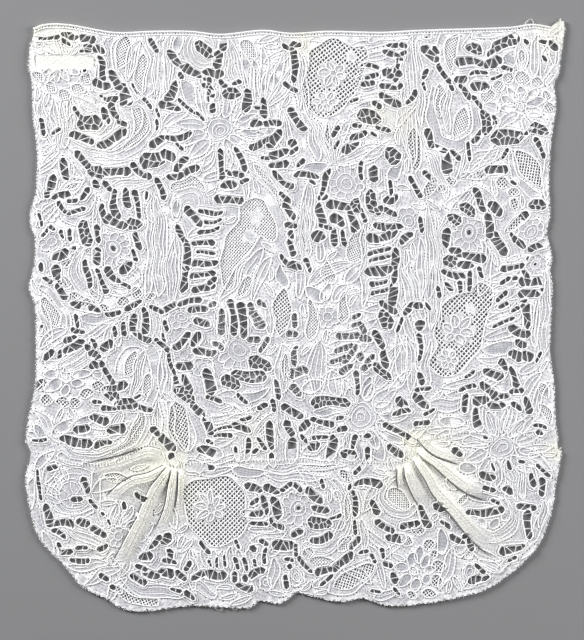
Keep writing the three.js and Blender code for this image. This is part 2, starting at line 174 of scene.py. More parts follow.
# runs of open ground, [column, row, column, row, width]
wideRuns = [
    [62, 33, 76, 34, 10], [80, 37, 92, 40, 8], [91, 46, 101, 50, 9], [99, 58, 105, 79, 7],
    [96, 82, 108, 86, 8], [112, 72, 118, 88, 9], [121, 88, 128, 102, 9], [112, 103, 117, 118, 8],
    [104, 110, 106, 122, 8], [82, 123, 96, 123, 14], [72, 133, 92, 144, 8], [101, 146, 124, 133, 9],
    [76, 153, 90, 169, 7], [64, 163, 67, 177, 9], [53, 178, 50, 190, 7], [92, 172, 101, 172, 12],
    [105, 172, 128, 173, 8], [132, 167, 150, 177, 8], [104, 182, 108, 188, 7],
    [145, 160, 158, 160, 14], [162, 154, 173, 158, 8], [153, 146, 164, 140, 7],
    [168, 139, 190, 135, 7], [176, 168, 186, 160, 9], [170, 177, 198, 170, 7],
    [157, 182, 165, 197, 7], [163, 105, 178, 109, 8], [167, 100, 176, 84, 9], [172, 52, 176, 64, 9],
    [180, 64, 200, 76, 9], [199, 47, 211, 52, 11], [203, 82, 211, 92, 9], [55, 198, 67, 197, 9],
    [113, 190, 116, 217, 7], [126, 190, 128, 208, 6.5], [150, 37, 157, 52, 7],
    [222, 37, 224, 49, 7], [219, 52, 216, 66, 8], [206, 72, 222, 74, 9], [209, 80, 208, 98, 7],
    [227, 95, 235, 95, 13], [246, 90, 248, 110, 8], [262, 101, 264, 117, 8],
    [254, 124, 278, 124, 9], [285, 37, 299, 45, 9], [295, 52, 294, 80, 6.5],
    [292, 111, 303, 130, 7], [271, 144, 280, 133, 9], [251, 148, 262, 143, 8],
    [291, 142, 294, 147, 8], [272, 156, 284, 151, 9], [272, 167, 285, 164, 7],
    [276, 174, 292, 188, 7], [297, 175, 318, 176, 8], [321, 194, 329, 172, 6.5],
    [221, 152, 222, 178, 6.5], [236, 175, 243, 174, 8], [223, 187, 233, 186, 8],
    [217, 199, 243, 200, 7], [345, 149, 358, 142, 9], [352, 137, 366, 133, 6.5],
    [361, 117, 377, 118, 13], [386, 52, 400, 59, 8], [384, 71, 400, 76, 9], [382, 85, 400, 86, 7],
    [380, 96, 400, 106, 9], [396, 36, 409, 36, 7], [373, 168, 375, 181, 8], [390, 152, 396, 160, 11],
    [386, 199, 395, 199, 8], [354, 202, 359, 209, 10], [371, 195, 374, 210, 10],
    [425, 49, 435, 60, 8], [456, 78, 466, 79, 7], [461, 84, 469, 99, 8.5], [458, 62, 480, 63, 9],
    [486, 63, 499, 60, 9], [470, 47, 478, 50, 10], [497, 48, 516, 38, 10], [475, 86, 485, 87, 9],
    [474, 98, 481, 106, 7], [485, 113, 487, 130, 12], [497, 138, 520, 137, 14],
    [523, 137, 530, 130, 7], [533, 127, 543, 131, 12], [475, 142, 481, 132, 8],
    [426, 132, 434, 146, 7], [444, 153, 448, 170, 9], [489, 170, 505, 171, 8],
    [534, 204, 542, 205, 10], [425, 70, 425, 77, 7], [474, 192, 485, 210, 7], [493, 204, 498, 214, 9],
    [108, 218, 123, 225, 9], [102, 207, 107, 220, 7], [129, 224, 139, 224, 11],
    [81, 225, 88, 242, 10], [98, 228, 98, 241, 7], [55, 258, 66, 252, 8], [56, 268, 57, 284, 9],
    [58, 287, 66, 297, 7], [74, 304, 97, 312, 7], [96, 250, 97, 264, 7], [107, 268, 117, 280, 9],
    [124, 271, 131, 264, 8], [135, 234, 138, 247, 6.5], [65, 340, 76, 337, 7], [66, 352, 82, 343, 8],
    [45, 356, 51, 352, 8], [90, 354, 99, 357, 9], [92, 366, 104, 365, 7], [102, 347, 111, 343, 9],
    [144, 310, 145, 331, 7], [133, 316, 134, 332, 6.5], [136, 333, 150, 341, 6.5],
    [110, 388, 125, 386, 8], [173, 348, 188, 336, 7], [178, 226, 186, 244, 8],
    [186, 246, 186, 266, 8], [186, 268, 184, 290, 8], [188, 210, 198, 224, 8],
    [193, 264, 216, 262, 7], [194, 245, 212, 243, 6.5], [193, 276, 213, 273, 6.5],
    [194, 292, 212, 286, 7], [195, 321, 208, 325, 9], [194, 344, 200, 337, 9],
    [196, 351, 213, 353, 8], [180, 367, 191, 367, 9], [183, 378, 189, 392, 8],
    [232, 304, 234, 334, 8], [242, 306, 245, 334, 9], [252, 312, 262, 328, 9],
    [253, 361, 268, 368, 14], [236, 374, 262, 378, 10], [206, 373, 213, 392, 9],
    [224, 380, 236, 386, 13], [291, 264, 299, 269, 8], [287, 206, 292, 217, 8],
    [320, 205, 322, 226, 8], [331, 206, 348, 208, 9], [331, 218, 342, 223, 9],
    [316, 235, 323, 238, 9], [351, 212, 356, 229, 8], [333, 230, 335, 246, 6.5],
    [374, 227, 400, 228, 7], [370, 239, 396, 234, 8], [369, 274, 390, 269, 9],
    [394, 250, 395, 280, 8], [394, 284, 394, 304, 8], [382, 304, 394, 312, 9],
    [382, 314, 388, 324, 10], [339, 338, 358, 336, 6.5], [362, 336, 370, 340, 8],
    [377, 332, 380, 347, 8], [376, 366, 388, 376, 10], [382, 353, 388, 364, 8],
    [291, 374, 307, 369, 9], [276, 383, 279, 396, 7], [403, 244, 410, 234, 7],
    [450, 217, 457, 222, 10], [447, 232, 447, 244, 7], [452, 249, 459, 250, 7],
    [463, 206, 473, 213, 10], [487, 216, 490, 234, 7], [493, 233, 504, 254, 8],
    [512, 229, 526, 213, 8], [514, 240, 524, 244, 8], [530, 249, 544, 243, 7],
    [504, 269, 522, 266, 7], [522, 281, 540, 281, 8], [522, 292, 537, 294, 9],
    [526, 306, 527, 324, 9], [512, 330, 529, 334, 9], [517, 341, 524, 346, 8],
    [511, 353, 521, 358, 9], [524, 355, 530, 358, 8], [501, 361, 506, 370, 8],
    [487, 372, 499, 378, 9], [513, 371, 515, 384, 8], [481, 384, 490, 389, 7],
    [446, 260, 455, 262, 12], [460, 256, 482, 258, 9], [462, 266, 470, 267, 9],
    [445, 273, 462, 276.5, 7], [420, 322, 421, 328, 9], [492, 391, 499, 397, 8],
    [105, 389, 117, 398, 11], [119, 404, 132, 405, 13], [91, 417, 107, 421, 8],
    [76, 430, 88, 430, 8], [63, 440, 88, 444, 8], [111, 429, 123, 429, 8], [160, 438, 172, 449, 7],
    [178, 388, 191, 400, 10], [192, 405, 202, 416, 8], [205, 420, 212, 431, 9],
    [201, 450, 218, 454, 9], [235, 427, 248, 430, 8], [284, 407, 300, 417, 7],
    [286, 422, 292, 436, 7], [271, 425, 271, 448, 7], [290, 442, 293, 459, 9],
    [303, 431, 309, 423, 9], [314, 402, 346, 402, 10], [332, 438, 332, 458, 9],
    [344, 454, 353, 456, 10], [309, 446, 317, 445, 8], [418, 394, 425, 406, 9],
    [398, 402, 406, 406, 9], [386, 425, 412, 440, 7], [388, 446, 402, 456, 7],
    [475, 404, 487, 398, 9], [491, 404, 502, 406, 9], [474, 412, 480, 427, 8],
    [526, 400, 530, 410, 8], [512, 391, 521, 391, 7], [188, 466, 200, 468, 9],
    [51, 524, 73, 524, 8], [44, 507, 50, 520, 7], [62, 552, 72, 552, 7], [152, 547, 159, 538, 9],
    [164, 542, 169, 536, 9], [143, 557, 151, 557, 9], [145, 571, 156, 576, 8],
    [159, 572, 171, 574, 8], [131, 578, 146, 581, 7], [195, 580, 202, 573, 8],
    [205, 575, 224, 575, 9], [249, 575, 263, 571, 8], [240, 585, 251, 588, 7],
    [247, 486, 262, 492, 7], [267, 487, 277, 492, 9], [264, 500, 266, 512, 8],
    [274, 501, 279, 515, 8], [244, 513, 260, 513, 7], [272, 520, 283, 528, 8],
    [274, 545, 292, 545, 9], [310, 489, 319, 499, 9], [315, 508, 325, 510, 8],
    [311, 522, 330, 525, 10], [311, 540, 331, 537, 8], [317, 571, 334, 571, 7],
    [334, 568, 352, 554, 8], [350, 547, 357, 540, 7], [354, 493, 356, 513, 6.5],
    [357, 483, 379, 484, 7], [371, 502, 376, 514, 7], [480, 474, 493, 476, 8],
    [505, 490, 512, 493, 8], [520, 505, 532, 510, 8], [528, 514, 529, 535, 8],
    [467, 514, 500, 510, 7.5], [419, 508, 429, 526, 7], [402, 529, 418, 522, 7],
    [452, 535, 462, 542, 7], [465, 536, 471, 550, 6.5], [502, 552, 522, 546, 8],
    [470, 581, 486, 578, 7], [541, 482, 542, 494, 7], [388, 536, 402, 540, 8],
    [61, 30, 68, 30, 6], [88, 46, 96, 50, 7], [120, 96, 124, 103, 6], [398, 60, 397, 80, 6],
]
narrowRuns = [
    [35, 39, 57, 39, 4.5], [95, 32, 100, 40, 4], [82, 52, 91, 52, 4], [101, 35, 108, 36, 4],
    [104, 97, 116, 99, 5], [133, 86, 152, 108, 4], [76, 108, 84, 118, 4], [118, 122, 126, 127, 5],
    [42, 119, 44, 134, 5], [52, 134, 58, 130, 3.5], [176, 142, 184, 148, 4], [156, 120, 157, 130, 4],
    [178, 98, 196, 114, 4], [47, 190, 48, 196, 5], [83, 197, 88, 191, 6], [68, 201, 78, 199, 3.4],
    [158, 110, 160, 116, 3.2], [95, 183, 96, 188, 6], [198, 113, 204, 121, 4], [134, 192, 140, 215, 5.5],
    [145, 193, 145, 198, 3.2], [222, 80, 226, 86, 5], [234, 84, 240, 80, 4], [212, 104, 214, 112, 5],
    [264, 142, 270, 139, 5], [262, 159, 271, 159, 4], [289, 154, 297, 150, 5], [297, 165, 304, 160, 5],
    [309, 182, 313, 184, 4], [319, 197, 327, 199, 6], [279, 192, 290, 202, 5], [227, 172, 231, 176, 6],
    [236, 150, 245, 168, 5], [241, 184, 249, 178, 4], [333, 136, 338, 129, 4], [334, 148, 338, 142, 4],
    [352, 126, 359, 126, 5], [378, 126, 387, 130, 6], [372, 40, 380, 34, 4], [388, 44, 397, 45, 5],
    [361, 66, 377, 68, 4], [366, 79, 377, 74, 4], [362, 85, 373, 82, 5], [361, 164, 363, 178, 4.5],
    [389, 182, 390, 193, 3.2], [351, 100, 358, 98, 3.2], [284, 84, 296, 91, 5], [374, 104, 380, 107, 4.5],
    [372, 133, 376, 137, 3.2], [255, 107, 259, 108, 4], [401, 45, 407, 47, 5], [400, 54, 406, 52, 4],
    [424, 36, 428, 38, 4], [424, 84, 425, 90, 4], [437, 66, 449, 80, 5], [472, 75, 487, 72, 4.5],
    [484, 34, 489, 33, 3.5], [488, 54, 495, 51, 5], [525, 39, 529, 42, 4], [502, 67, 511, 72, 5],
    [541, 41, 546, 42, 3.5], [550, 42, 556, 48, 5.5], [492, 79, 501, 76, 4], [450, 84, 451, 89, 4],
    [536, 141, 543, 157, 5], [469, 145, 470, 160, 4.5], [502, 158, 508, 150, 5],
    [412, 178, 421, 195, 5], [424, 173, 434, 181, 5.5], [511, 181, 514, 184, 3.5],
    [408, 102, 414, 92, 5], [436, 147, 443, 152, 5.5], [494, 124, 499, 121, 4], [451, 152, 458, 157, 6],
    [544, 58, 545, 62, 3.5], [58, 205, 67, 211, 5], [69, 212, 84, 208, 5], [42, 234, 48, 227, 4],
    [50, 226, 55, 229, 4], [62, 232, 64, 239, 4], [70, 231, 72, 239, 4], [70, 250, 76, 246, 4.5],
    [42, 264, 43, 268, 5], [44, 277, 50, 283, 5], [76, 316, 78, 325, 5], [72, 328, 85, 332, 5],
    [86, 263, 89, 286, 5.5], [97, 272, 107, 292, 5], [133, 252, 136, 259, 4], [120, 284, 129, 290, 3.5],
    [60, 351, 61, 359, 4], [85, 348, 87, 350, 5], [92, 341, 94, 348, 5], [106, 370, 113, 383, 5],
    [114, 328, 117, 336, 5], [124, 324, 126, 336, 5], [157, 341, 166, 352, 5], [152, 308, 163, 314, 4],
    [165, 312, 176, 302, 5.5], [165, 322, 169, 329, 4], [165, 334, 165, 342, 3.5],
    [167, 355, 174, 372, 4.5], [174, 376, 176, 390, 5.5], [105, 314, 120, 312, 5],
    [126, 309, 142, 300, 5], [180, 303, 200, 301, 5], [190, 310, 206, 308, 5.5],
    [43, 325, 42, 332, 3.2], [38, 215, 40, 224, 3.2], [207, 284, 214, 279, 5], [280, 256, 288, 262, 4.5],
    [305, 261, 310, 271, 5], [285, 223, 295, 228, 6], [289, 233, 292, 238, 5.5], [343, 231, 344, 245, 6],
    [325, 227, 329, 229, 6], [362, 209, 364, 221, 4.5], [377, 214, 381, 206, 5.5],
    [384, 208, 396, 214, 6], [369, 254, 388, 247, 5.5], [371, 262, 388, 256, 5], [369, 285, 386, 280, 4],
    [371, 293, 388, 288, 5], [352, 316, 359, 315, 5.5], [352, 325, 359, 325, 5.5],
    [334, 351, 352, 345, 5], [331, 364, 346, 356, 5.5], [372, 358, 366, 364, 5.5],
    [363, 370, 370, 364, 5], [357, 374, 357, 392, 6], [294, 317, 296, 326, 5], [290, 333, 297, 334, 6.5],
    [293, 349, 295, 349, 4], [210, 304, 215, 302, 6], [220, 312, 222, 332, 6], [250, 303, 251, 308, 6],
    [259, 302, 266, 306, 5], [214, 342, 222, 350, 6], [259, 350, 267, 341, 6], [292, 353, 295, 364, 7],
    [292, 386, 300, 396, 6], [361, 327, 366, 332, 6], [346, 361, 356, 346, 7], [340, 374, 352, 366, 7],
    [359, 354, 362, 361, 6], [290, 242, 294, 254, 6], [250, 338, 258, 340, 5], [419, 219, 422, 229, 5.5],
    [513, 236, 512, 236, 5], [526, 258, 527, 258, 4], [524, 271, 529, 276, 5.5],
    [500, 284, 508, 280, 6], [513, 280, 517, 279, 4.5], [540, 284, 541, 290, 4.5],
    [497, 301, 507, 294, 4.5], [499, 307, 508, 303, 4], [522, 302, 526, 301, 4.5],
    [511, 311, 519, 308, 4.5], [495, 327, 511, 320, 5], [539, 355, 536, 361, 4],
    [464, 377, 475, 372, 3.5], [462, 391, 473, 386, 5.5], [479, 268, 483, 276, 5.5],
    [446, 284, 450, 288, 5], [458, 281, 460, 291, 5], [469, 275, 470, 289, 6], [438, 289, 440, 296, 4],
    [420, 336, 419, 358, 5], [418, 375, 421, 383, 6], [405, 315, 412, 304, 5.5],
    [415, 305, 421, 305, 5.5], [427, 304, 430, 308, 4], [417, 389, 429, 388, 3.4],
    [397, 330, 401, 321, 5], [101, 409, 116, 409, 5], [137, 408, 151, 409, 5], [136, 399, 140, 396, 3.2],
    [94, 403, 100, 404, 3.2], [94, 447, 110, 441, 6], [31, 433, 34, 435, 4.5], [33, 440, 45, 438, 3.5],
    [153, 430, 157, 435, 6], [171, 454, 176, 462, 5], [206, 440, 210, 444, 4], [206, 466, 214, 466, 5.5],
    [60, 457, 82, 463, 5.5], [49, 469, 56, 467, 4], [38, 470, 40, 500, 3.2], [54, 532, 62, 537, 6],
    [80, 521, 89, 525, 6], [93, 529, 103, 536, 6], [73, 498, 80, 498, 6], [83, 480, 88, 491, 6],
    [90, 501, 96, 508, 5.5], [102, 513, 104, 513, 4], [109, 519, 111, 523, 3.2], [57, 545, 61, 550, 4],
    [78, 548, 86, 549, 4.5], [98, 549, 105, 546, 6], [72, 561, 88, 562, 4.5], [101, 576, 109, 580, 4.5],
    [138, 495, 150, 499, 6], [122, 505, 123, 509, 4], [170, 551, 170, 560, 6], [163, 562, 176, 563, 4.5],
    [137, 567, 146, 569, 4.5], [177, 573, 186, 580, 6], [186, 570, 191, 562, 4.5],
    [201, 544, 209, 551, 4], [113, 587, 122, 592, 4], [185, 592, 192, 598, 4.5],
    [172, 588, 180, 590, 3.2], [209, 396, 220, 402, 5], [238, 396, 248, 403, 4],
    [214, 436, 232, 437, 3.5], [214, 430, 232, 429, 3.5], [241, 419, 249, 416, 3.5],
    [258, 410, 265, 405, 5], [272, 400, 274, 411, 5.5], [254, 452, 256, 452, 5], [258, 439, 264, 450, 6],
    [247, 440, 249, 457, 4.5], [236, 448, 238, 458, 4.5], [271, 456, 272, 465, 5.5],
    [302, 438, 306, 441, 5], [313, 418, 332, 425, 5.5], [336, 420, 342, 419, 3.5],
    [314, 438, 326, 438, 3.5], [339, 430, 348, 428, 4.5], [356, 435, 352, 448, 5],
    [365, 437, 368, 438, 5], [368, 450, 370, 460, 5.5], [364, 464, 353, 472, 4], [350, 484, 351, 488, 5],
    [322, 481, 324, 488, 3.2], [331, 519, 339, 515, 3.5], [250, 502, 258, 501, 4.5],
    [282, 491, 290, 485, 5], [293, 486, 302, 490, 5], [253, 524, 266, 524, 5], [294, 535, 301, 531, 6],
    [295, 545, 296, 557, 4.5], [286, 558, 292, 562, 4], [287, 567, 289, 568, 5], [284, 577, 288, 586, 4],
    [299, 560, 311, 570, 5], [355, 520, 354, 534, 4], [362, 552, 368, 552, 4.5],
    [371, 557, 374, 563, 4.5], [323, 583, 330, 578, 4.5], [373, 592, 380, 593, 3.5],
    [378, 522, 392, 530, 5.5], [217, 559, 217, 567, 3.5], [226, 558, 226, 566, 3.5],
    [236, 560, 237, 568, 3.5], [244, 560, 245, 569, 4.5], [254, 560, 255, 566, 4.5],
    [265, 551, 266, 562, 5], [208, 560, 210, 566, 3.5], [234, 573, 236, 581, 5], [243, 575, 245, 579, 4.5],
    [234, 541, 240, 548, 4], [252, 546, 254, 549, 5], [260, 542, 266, 547, 4], [393, 413, 409, 412, 5],
    [423, 415, 432, 412, 4.5], [414, 424, 430, 423, 4], [438, 438, 447, 433, 4], [452, 437, 470, 435, 3.2],
    [474, 436, 486, 436, 4], [454, 448, 461, 454, 5.5], [467, 397, 463, 410, 5], [502, 396, 508, 396, 6],
    [512, 406, 519, 408, 6], [534, 427, 547, 428, 4], [537, 434, 541, 435, 5.5],
    [480, 486, 493, 490, 6], [493, 465, 495, 470, 3.2], [509, 463, 510, 468, 4], [519, 460, 524, 461, 3.5],
    [539, 467, 547, 477, 5], [531, 476, 534, 485, 5], [491, 501, 498, 505, 4], [436, 506, 443, 510, 6],
    [442, 524, 451, 526, 4.5], [453, 517, 457, 520, 3.5], [510, 561, 517, 558, 5],
    [477, 567, 483, 573, 4.5], [393, 574, 397, 581, 6], [395, 589, 398, 594, 5.5],
    [385, 563, 392, 566, 4.5], [381, 550, 384, 558, 4.5], [222, 36, 222, 42, 5],
    [286, 36, 296, 38, 4], [285, 45, 294, 48, 5], [202, 86, 208, 90, 5], [200, 213, 222, 212, 4.5],
    [203, 222, 221, 220, 4], [199, 232, 219, 229, 4.5], [196, 254, 214, 252, 4], [397, 37, 408, 36, 5],
    [434, 49, 437, 52, 5], [495, 116, 498, 124, 5], [180, 74, 184, 78, 5], [149, 36, 159, 37, 5],
    [84, 70, 84, 70, 3.5], [62, 41, 70, 43, 4], [424, 33, 428, 38, 4], [101, 95, 108, 94, 4],
]
ground = {
    "cellLong": 5.5,       # squares, pitch of the cells along a run
    "cellWide": 6.3,       # pitch across a run
    "bar": 0.74,           # width of the plaited bar between two cells
    "jitter": 0.36,
    "uneven": 0.75,        # how far the side of a run wanders, in squares
    "ragged": [0.7, 1.12],  # height of each cell of a single row against the row's width
    "rounding": 0.11,
    "leastArea": 4.2,
    "edge": 2.0,           # cloth left at an outer edge
}


sway = {"reach": 2.0, "wave": 0.152}     # the ground and the motifs wander this far, in squares


def swayed(points):
    # the pricking never lies quite straight; the edges and the pleats stay where they are
    points = np.asarray(points, float)
    x, y = points[:, 0], points[:, 1]
    k = sway["wave"]
    across = np.sin(x * k + 2.1 * np.sin(y * k * 0.6)) + 0.6 * np.sin(y * k * 1.3 + 1.7)
    down = np.sin(y * k + 2.3 * np.sin(x * k * 0.55 + 1)) + 0.6 * np.sin(x * k * 1.2 + 0.4)
    return points + sway["reach"] * 0.62 * np.column_stack([across, down])


def clipHalf(polygon, point, normal):
    # the part of a convex polygon on the side of a line that the normal points away from
    kept = []
    sides = (polygon - point) @ normal
    for i in range(len(polygon)):
        j = (i + 1) % len(polygon)
        if sides[i] <= 0:
            kept.append(polygon[i])
        if (sides[i] < 0 < sides[j]) or (sides[j] < 0 < sides[i]):
            kept.append(polygon[i] + (polygon[j] - polygon[i]) * sides[i] / (sides[i] - sides[j]))
    return np.array(kept) if len(kept) > 2 else None


def polygonArea(ring):
    x, y = ring[:, 0], ring[:, 1]
    return 0.5 * abs(x @ np.roll(y, -1) - y @ np.roll(x, -1))


def groundSeeds(runs):
    # one seed and one bounding shape for each cell of each run
    seeds, shapes = [], []
    for fromColumn, fromRow, toColumn, toRow, width in runs:
        start, end = np.array([fromColumn, fromRow], float), np.array([toColumn, toRow], float)
        length = math.dist(start, end)
        along = (end - start) / length if length > 0.5 else np.array([1.0, 0.0])
        across = np.array([-along[1], along[0]])
        reach, half = length / 2 + width * 0.38, width / 2
        middle = (start + end) / 2
        corner = min(reach, half) * 0.72
        shape = [(reach, half - corner), (reach - corner, half), (corner - reach, half),
                 (-reach, half - corner), (-reach, corner - half), (corner - reach, -half),
                 (reach - corner, -half), (reach, corner - half)]
        shape = np.array([middle + along * u + across * v for u, v in shape])
        shape += (shape - middle) / np.hypot(*(shape - middle).T)[:, None] * draws.uniform(
            -0.7, 1.0, (8, 1)) * ground["uneven"]
        rows = max(1, round(width / ground["cellWide"]))
        columns = max(1, round(2 * reach / ground["cellLong"]))
        for row in range(rows):
            shift = 0.25 if row % 2 else -0.25
            for column in range(columns):
                u = (column + 0.5 + (shift if rows > 1 else 0)
                     + draws.uniform(-1, 1) * ground["jitter"]) / columns
                v = (row + 0.5 + draws.uniform(-1, 1) * ground["jitter"]) / rows
                seeds.append(middle + along * (2 * u - 1) * reach + across * (2 * v - 1) * half)
                narrow = draws.uniform(*ground["ragged"]) if rows == 1 else 1.0
                shapes.append(shape - across * (((shape - middle) @ across) * (1 - narrow))[:, None])
    return np.array(seeds), shapes


def groundCells(rings):
    # convex open cells, kept apart by bars, for each of the cloth outlines
    seeds, shapes = groundSeeds(wideRuns + narrowRuns)
    cells = []
    for seed, shape in zip(seeds, shapes):
        cell = shape
        gaps = seeds - seed
        near = np.flatnonzero((np.hypot(*gaps.T) < 18) & (np.hypot(*gaps.T) > 0.2))
        for other in near:
            toOther = gaps[other] / np.hypot(*gaps[other])
            middle = seed + gaps[other] / 2 - toOther * ground["bar"] / 2
            cell = clipHalf(cell, middle, toOther)
            if cell is None:
                break
        if cell is None or polygonArea(cell) < ground["leastArea"]:
            continue
        ends = np.roll(cell, -1, axis=0)
        cut = ground["rounding"]
        rounded = np.empty((len(cell) * 2, 2))
        rounded[0::2] = cell + (ends - cell) * cut
        rounded[1::2] = ends - (ends - cell) * cut
        gapsBetween = np.hypot(*(rounded - np.roll(rounded, -1, axis=0)).T)
        cells.append(swayed(rounded[gapsBetween > 0.25]))
    corners = np.vstack(cells)
    owner = np.repeat(np.arange(len(cells)), [len(cell) for cell in cells])
    result = []
    for ring in rings:
        out = ~insidePolygon(corners, ring)
        edges = np.roll(ring, -1, axis=0)
        finer = np.vstack([ring, (ring + edges) / 2])
        for start in range(0, len(corners), 4000):
            part = corners[start:start + 4000]
            nearest = np.hypot(part[:, None, 0] - finer[:, 0], part[:, None, 1] - finer[:, 1]).min(1)
            out[start:start + 4000] |= nearest < ground["edge"]
        spoilt = np.zeros(len(cells), bool)
        spoilt[owner[out]] = True
        result.append([cell for cell, bad in zip(cells, spoilt) if not bad and len(cell) > 3])
    return result


panelCells, borderCells = groundCells([panelRing, borderRing])
print("ground cells:", len(panelCells), len(borderCells))

# how the cloth lies
drape = {
    "clear": 0.0005,       # underside of the lace over the table
    "wave": 0.0003,
    "wall": 0.0008,        # thickness of the lace
    "overTape": 0.0003,
    "overNet": 0.00025,
}
tape = {"left": 31, "right": 97, "top": 53.5, "bottom": 69.5}
tapeWindow = [
    [35, 55], [48, 55.5], [62, 54.6], [78, 55.2], [90, 56.4], [95.5, 58.4], [95, 63], [94.6, 67.2],
    [84, 68.4], [70, 68], [56, 68.3], [44, 67.6], [36, 66.5], [34.6, 60],
]
netPatch = [
    [205, 297], [212, 289], [232, 287], [252, 290], [262, 297], [285, 306], [303, 318], [318, 316],
    [336, 312], [357, 314], [370, 322], [374, 340], [371, 362], [360, 384], [342, 397], [318, 400],
    [292, 399], [268, 392], [238, 372], [209, 352],
]
# Folded edges of the border's pleats, each with its lift near and far in millimetres and the breadth of
# the pleat near and far in squares. Seen from the gather, the pleat lies to the left of its edge.
folds = [
    [[[160, 450], [147, 448], [133, 452], [118, 457], [100, 461], [84, 465]], 2.2, 0.9, 13, 15],
    [[[164, 466], [148, 474], [131, 478], [117, 487], [106, 497]], 2.4, 0.9, 10, 13],
    [[[167, 468], [160, 476], [154, 484], [149, 492], [143, 505], [137, 519], [130, 532], [123, 545],
      [116, 558], [111, 568]], 3.1, 1.3, 8, 17],
    [[[172, 470], [170, 480], [168, 492], [166, 504], [162, 516], [155, 530]], 2.4, 0.8, 6, 10],
    [[[179, 471], [179, 482], [178, 496], [175, 512]], 1.8, 0.7, 5, 8],
    [[[415, 437], [421, 442], [428, 450], [437, 456], [448, 460], [459, 463]], 2.2, 0.9, 8, 10],
    [[[418, 452], [425, 459], [436, 467], [450, 480], [463, 490], [475, 496], [488, 500]], 3.0, 1.0, 8, 14],
    [[[414, 460], [420, 470], [427, 481], [433, 493], [441, 503], [452, 515], [463, 529], [478, 545],
      [492, 556]], 3.1, 1.2, 8, 17],
    [[[405, 467], [407, 479], [413, 494], [421, 508]], 2.8, 0.9, 10, 15],
    [[[398, 469], [398, 480], [399, 490]], 1.7, 0.7, 5, 7],
]


def smoothStep(t):
    t = np.clip(t, 0, 1)
    return t * t * (3 - 2 * t)


def bowed(x0, y0, x1, y1, bow, count=12):
    start, end = np.array([x0, y0], float), np.array([x1, y1], float)
    step = end - start
    across = np.array([-step[1], step[0]]) / max(np.hypot(*step), 1e-6)
    t = np.linspace(0, 1, count)[:, None]
    return start + step * t + across * bow * 4 * t * (1 - t)


def alongPath(points, path):
    # length along a path and signed distance from it, for each point
    lengths = np.concatenate([[0], np.cumsum(np.hypot(*np.diff(path, axis=0).T))])
    best = np.full(len(points), 1e9)
    along, aside = np.zeros(len(points)), np.zeros(len(points))
    for i in range(len(path) - 1):
        step = path[i + 1] - path[i]
        size = max(np.hypot(*step), 1e-9)
        offset = points - path[i]
        t = (offset @ step) / size ** 2
        held = np.clip(t, 0, 1)
        away = np.hypot(*(offset - held[:, None] * step).T)
        side = (step[0] * offset[:, 1] - step[1] * offset[:, 0]) / size
        closer = away < best
        best[closer] = away[closer]
        aside[closer] = side[closer]
        beyond = t if i in (0, len(path) - 2) else held
        along[closer] = (lengths[i] + beyond * size)[closer]
    return along, aside, lengths[-1]


foldPaths = [smoothPath(fold[0], 3.0) for fold in folds]


def foldPlaces(points):
    # for each pleat, how far along it the points lie and how far across it, both from nought to one
    for fold, path in zip(folds, foldPaths):
        along, aside, length = alongPath(points, path)
        t = along / length
        breadth = fold[3] + (fold[4] - fold[3]) * np.clip(t, 0, 1)
        yield fold, t, -aside / breadth, along, breadth


def foldHeight(points):
    total = np.zeros(len(points))
    for fold, t, u, along, breadth in foldPlaces(points):
        lift = 0.001 * (fold[1] + (fold[2] - fold[1]) * np.clip(t, 0, 1) ** 0.7)
        step = smoothStep(1 + u * breadth / 1.5)
        back = smoothStep((1.12 - u) / 0.42) * (1 - 0.3 * np.clip(u, 0, 1))
        crease = 1 + 0.05 * np.sin(u * 17 + fold[3]) * (u > 0)
        ends = smoothStep((along + 4) / 13) * smoothStep((1.1 - t) / 0.4)
        total = np.maximum(total, lift * np.where(u > 0, back * crease, step) * ends)
    return total


def onFold(points, far=0.9):
    points = np.asarray(points, float)
    held = np.zeros(len(points), bool)
    for fold, t, u, along, breadth in foldPlaces(points):
        held |= (t > -0.05) & (t < far) & (u > -1.2 / breadth) & (u < 0.95)
    return held & insidePolygon(points, borderRing)


def restHeight(points, border=False):
    # underside of the lace over the table, in metres, at places on the chart
    points = np.asarray(points, float)
    x, y = points[:, 0], points[:, 1]
    wave = (np.sin(x * 0.023 + 1.1) * np.sin(y * 0.019 + 0.5) + 0.6 * np.sin(x * 0.051 - y * 0.037)
            + 0.5 * np.sin(x * 0.017 + y * 0.061 + 2))
    height = drape["clear"] + drape["wave"] * (0.5 + 0.25 * wave)
    away = np.hypot(np.maximum(0, np.maximum(tape["left"] - x, x - tape["right"])),
                    np.maximum(0, np.maximum(tape["top"] - y, y - tape["bottom"])))
    height += drape["overTape"] * (1 - smoothStep(away / 7))
    fromMiddle = np.hypot((x - 290) / 88, (y - 344) / 58)
    height += drape["overNet"] * (1 - smoothStep((fromMiddle - 1) / 0.12))
    if border:
        height += foldHeight(points)
    return height


def creamOf(points):
    # where the linen has yellowed: the gathers and a few old stains
    x, y = np.asarray(points, float).T
    amount = np.zeros(len(x))
    for column, row, reach, strength in stains:
        amount = np.maximum(amount, strength * np.exp(-(((x - column) ** 2 + (y - row) ** 2) / reach ** 2)))
    low = y > 430
    if low.any():
        pleated = amount[low]
        for fold, t, u, along, breadth in foldPlaces(np.column_stack([x[low], y[low]])):
            near = smoothStep((u + 0.15) / 0.15) * smoothStep((1.15 - u) / 0.3) * smoothStep((1.15 - t) / 0.5)
            pleated = np.maximum(pleated, near * (0.95 - 0.55 * np.clip(t, 0, 1)) * (t > -0.2))
        amount[low] = pleated
    return amount


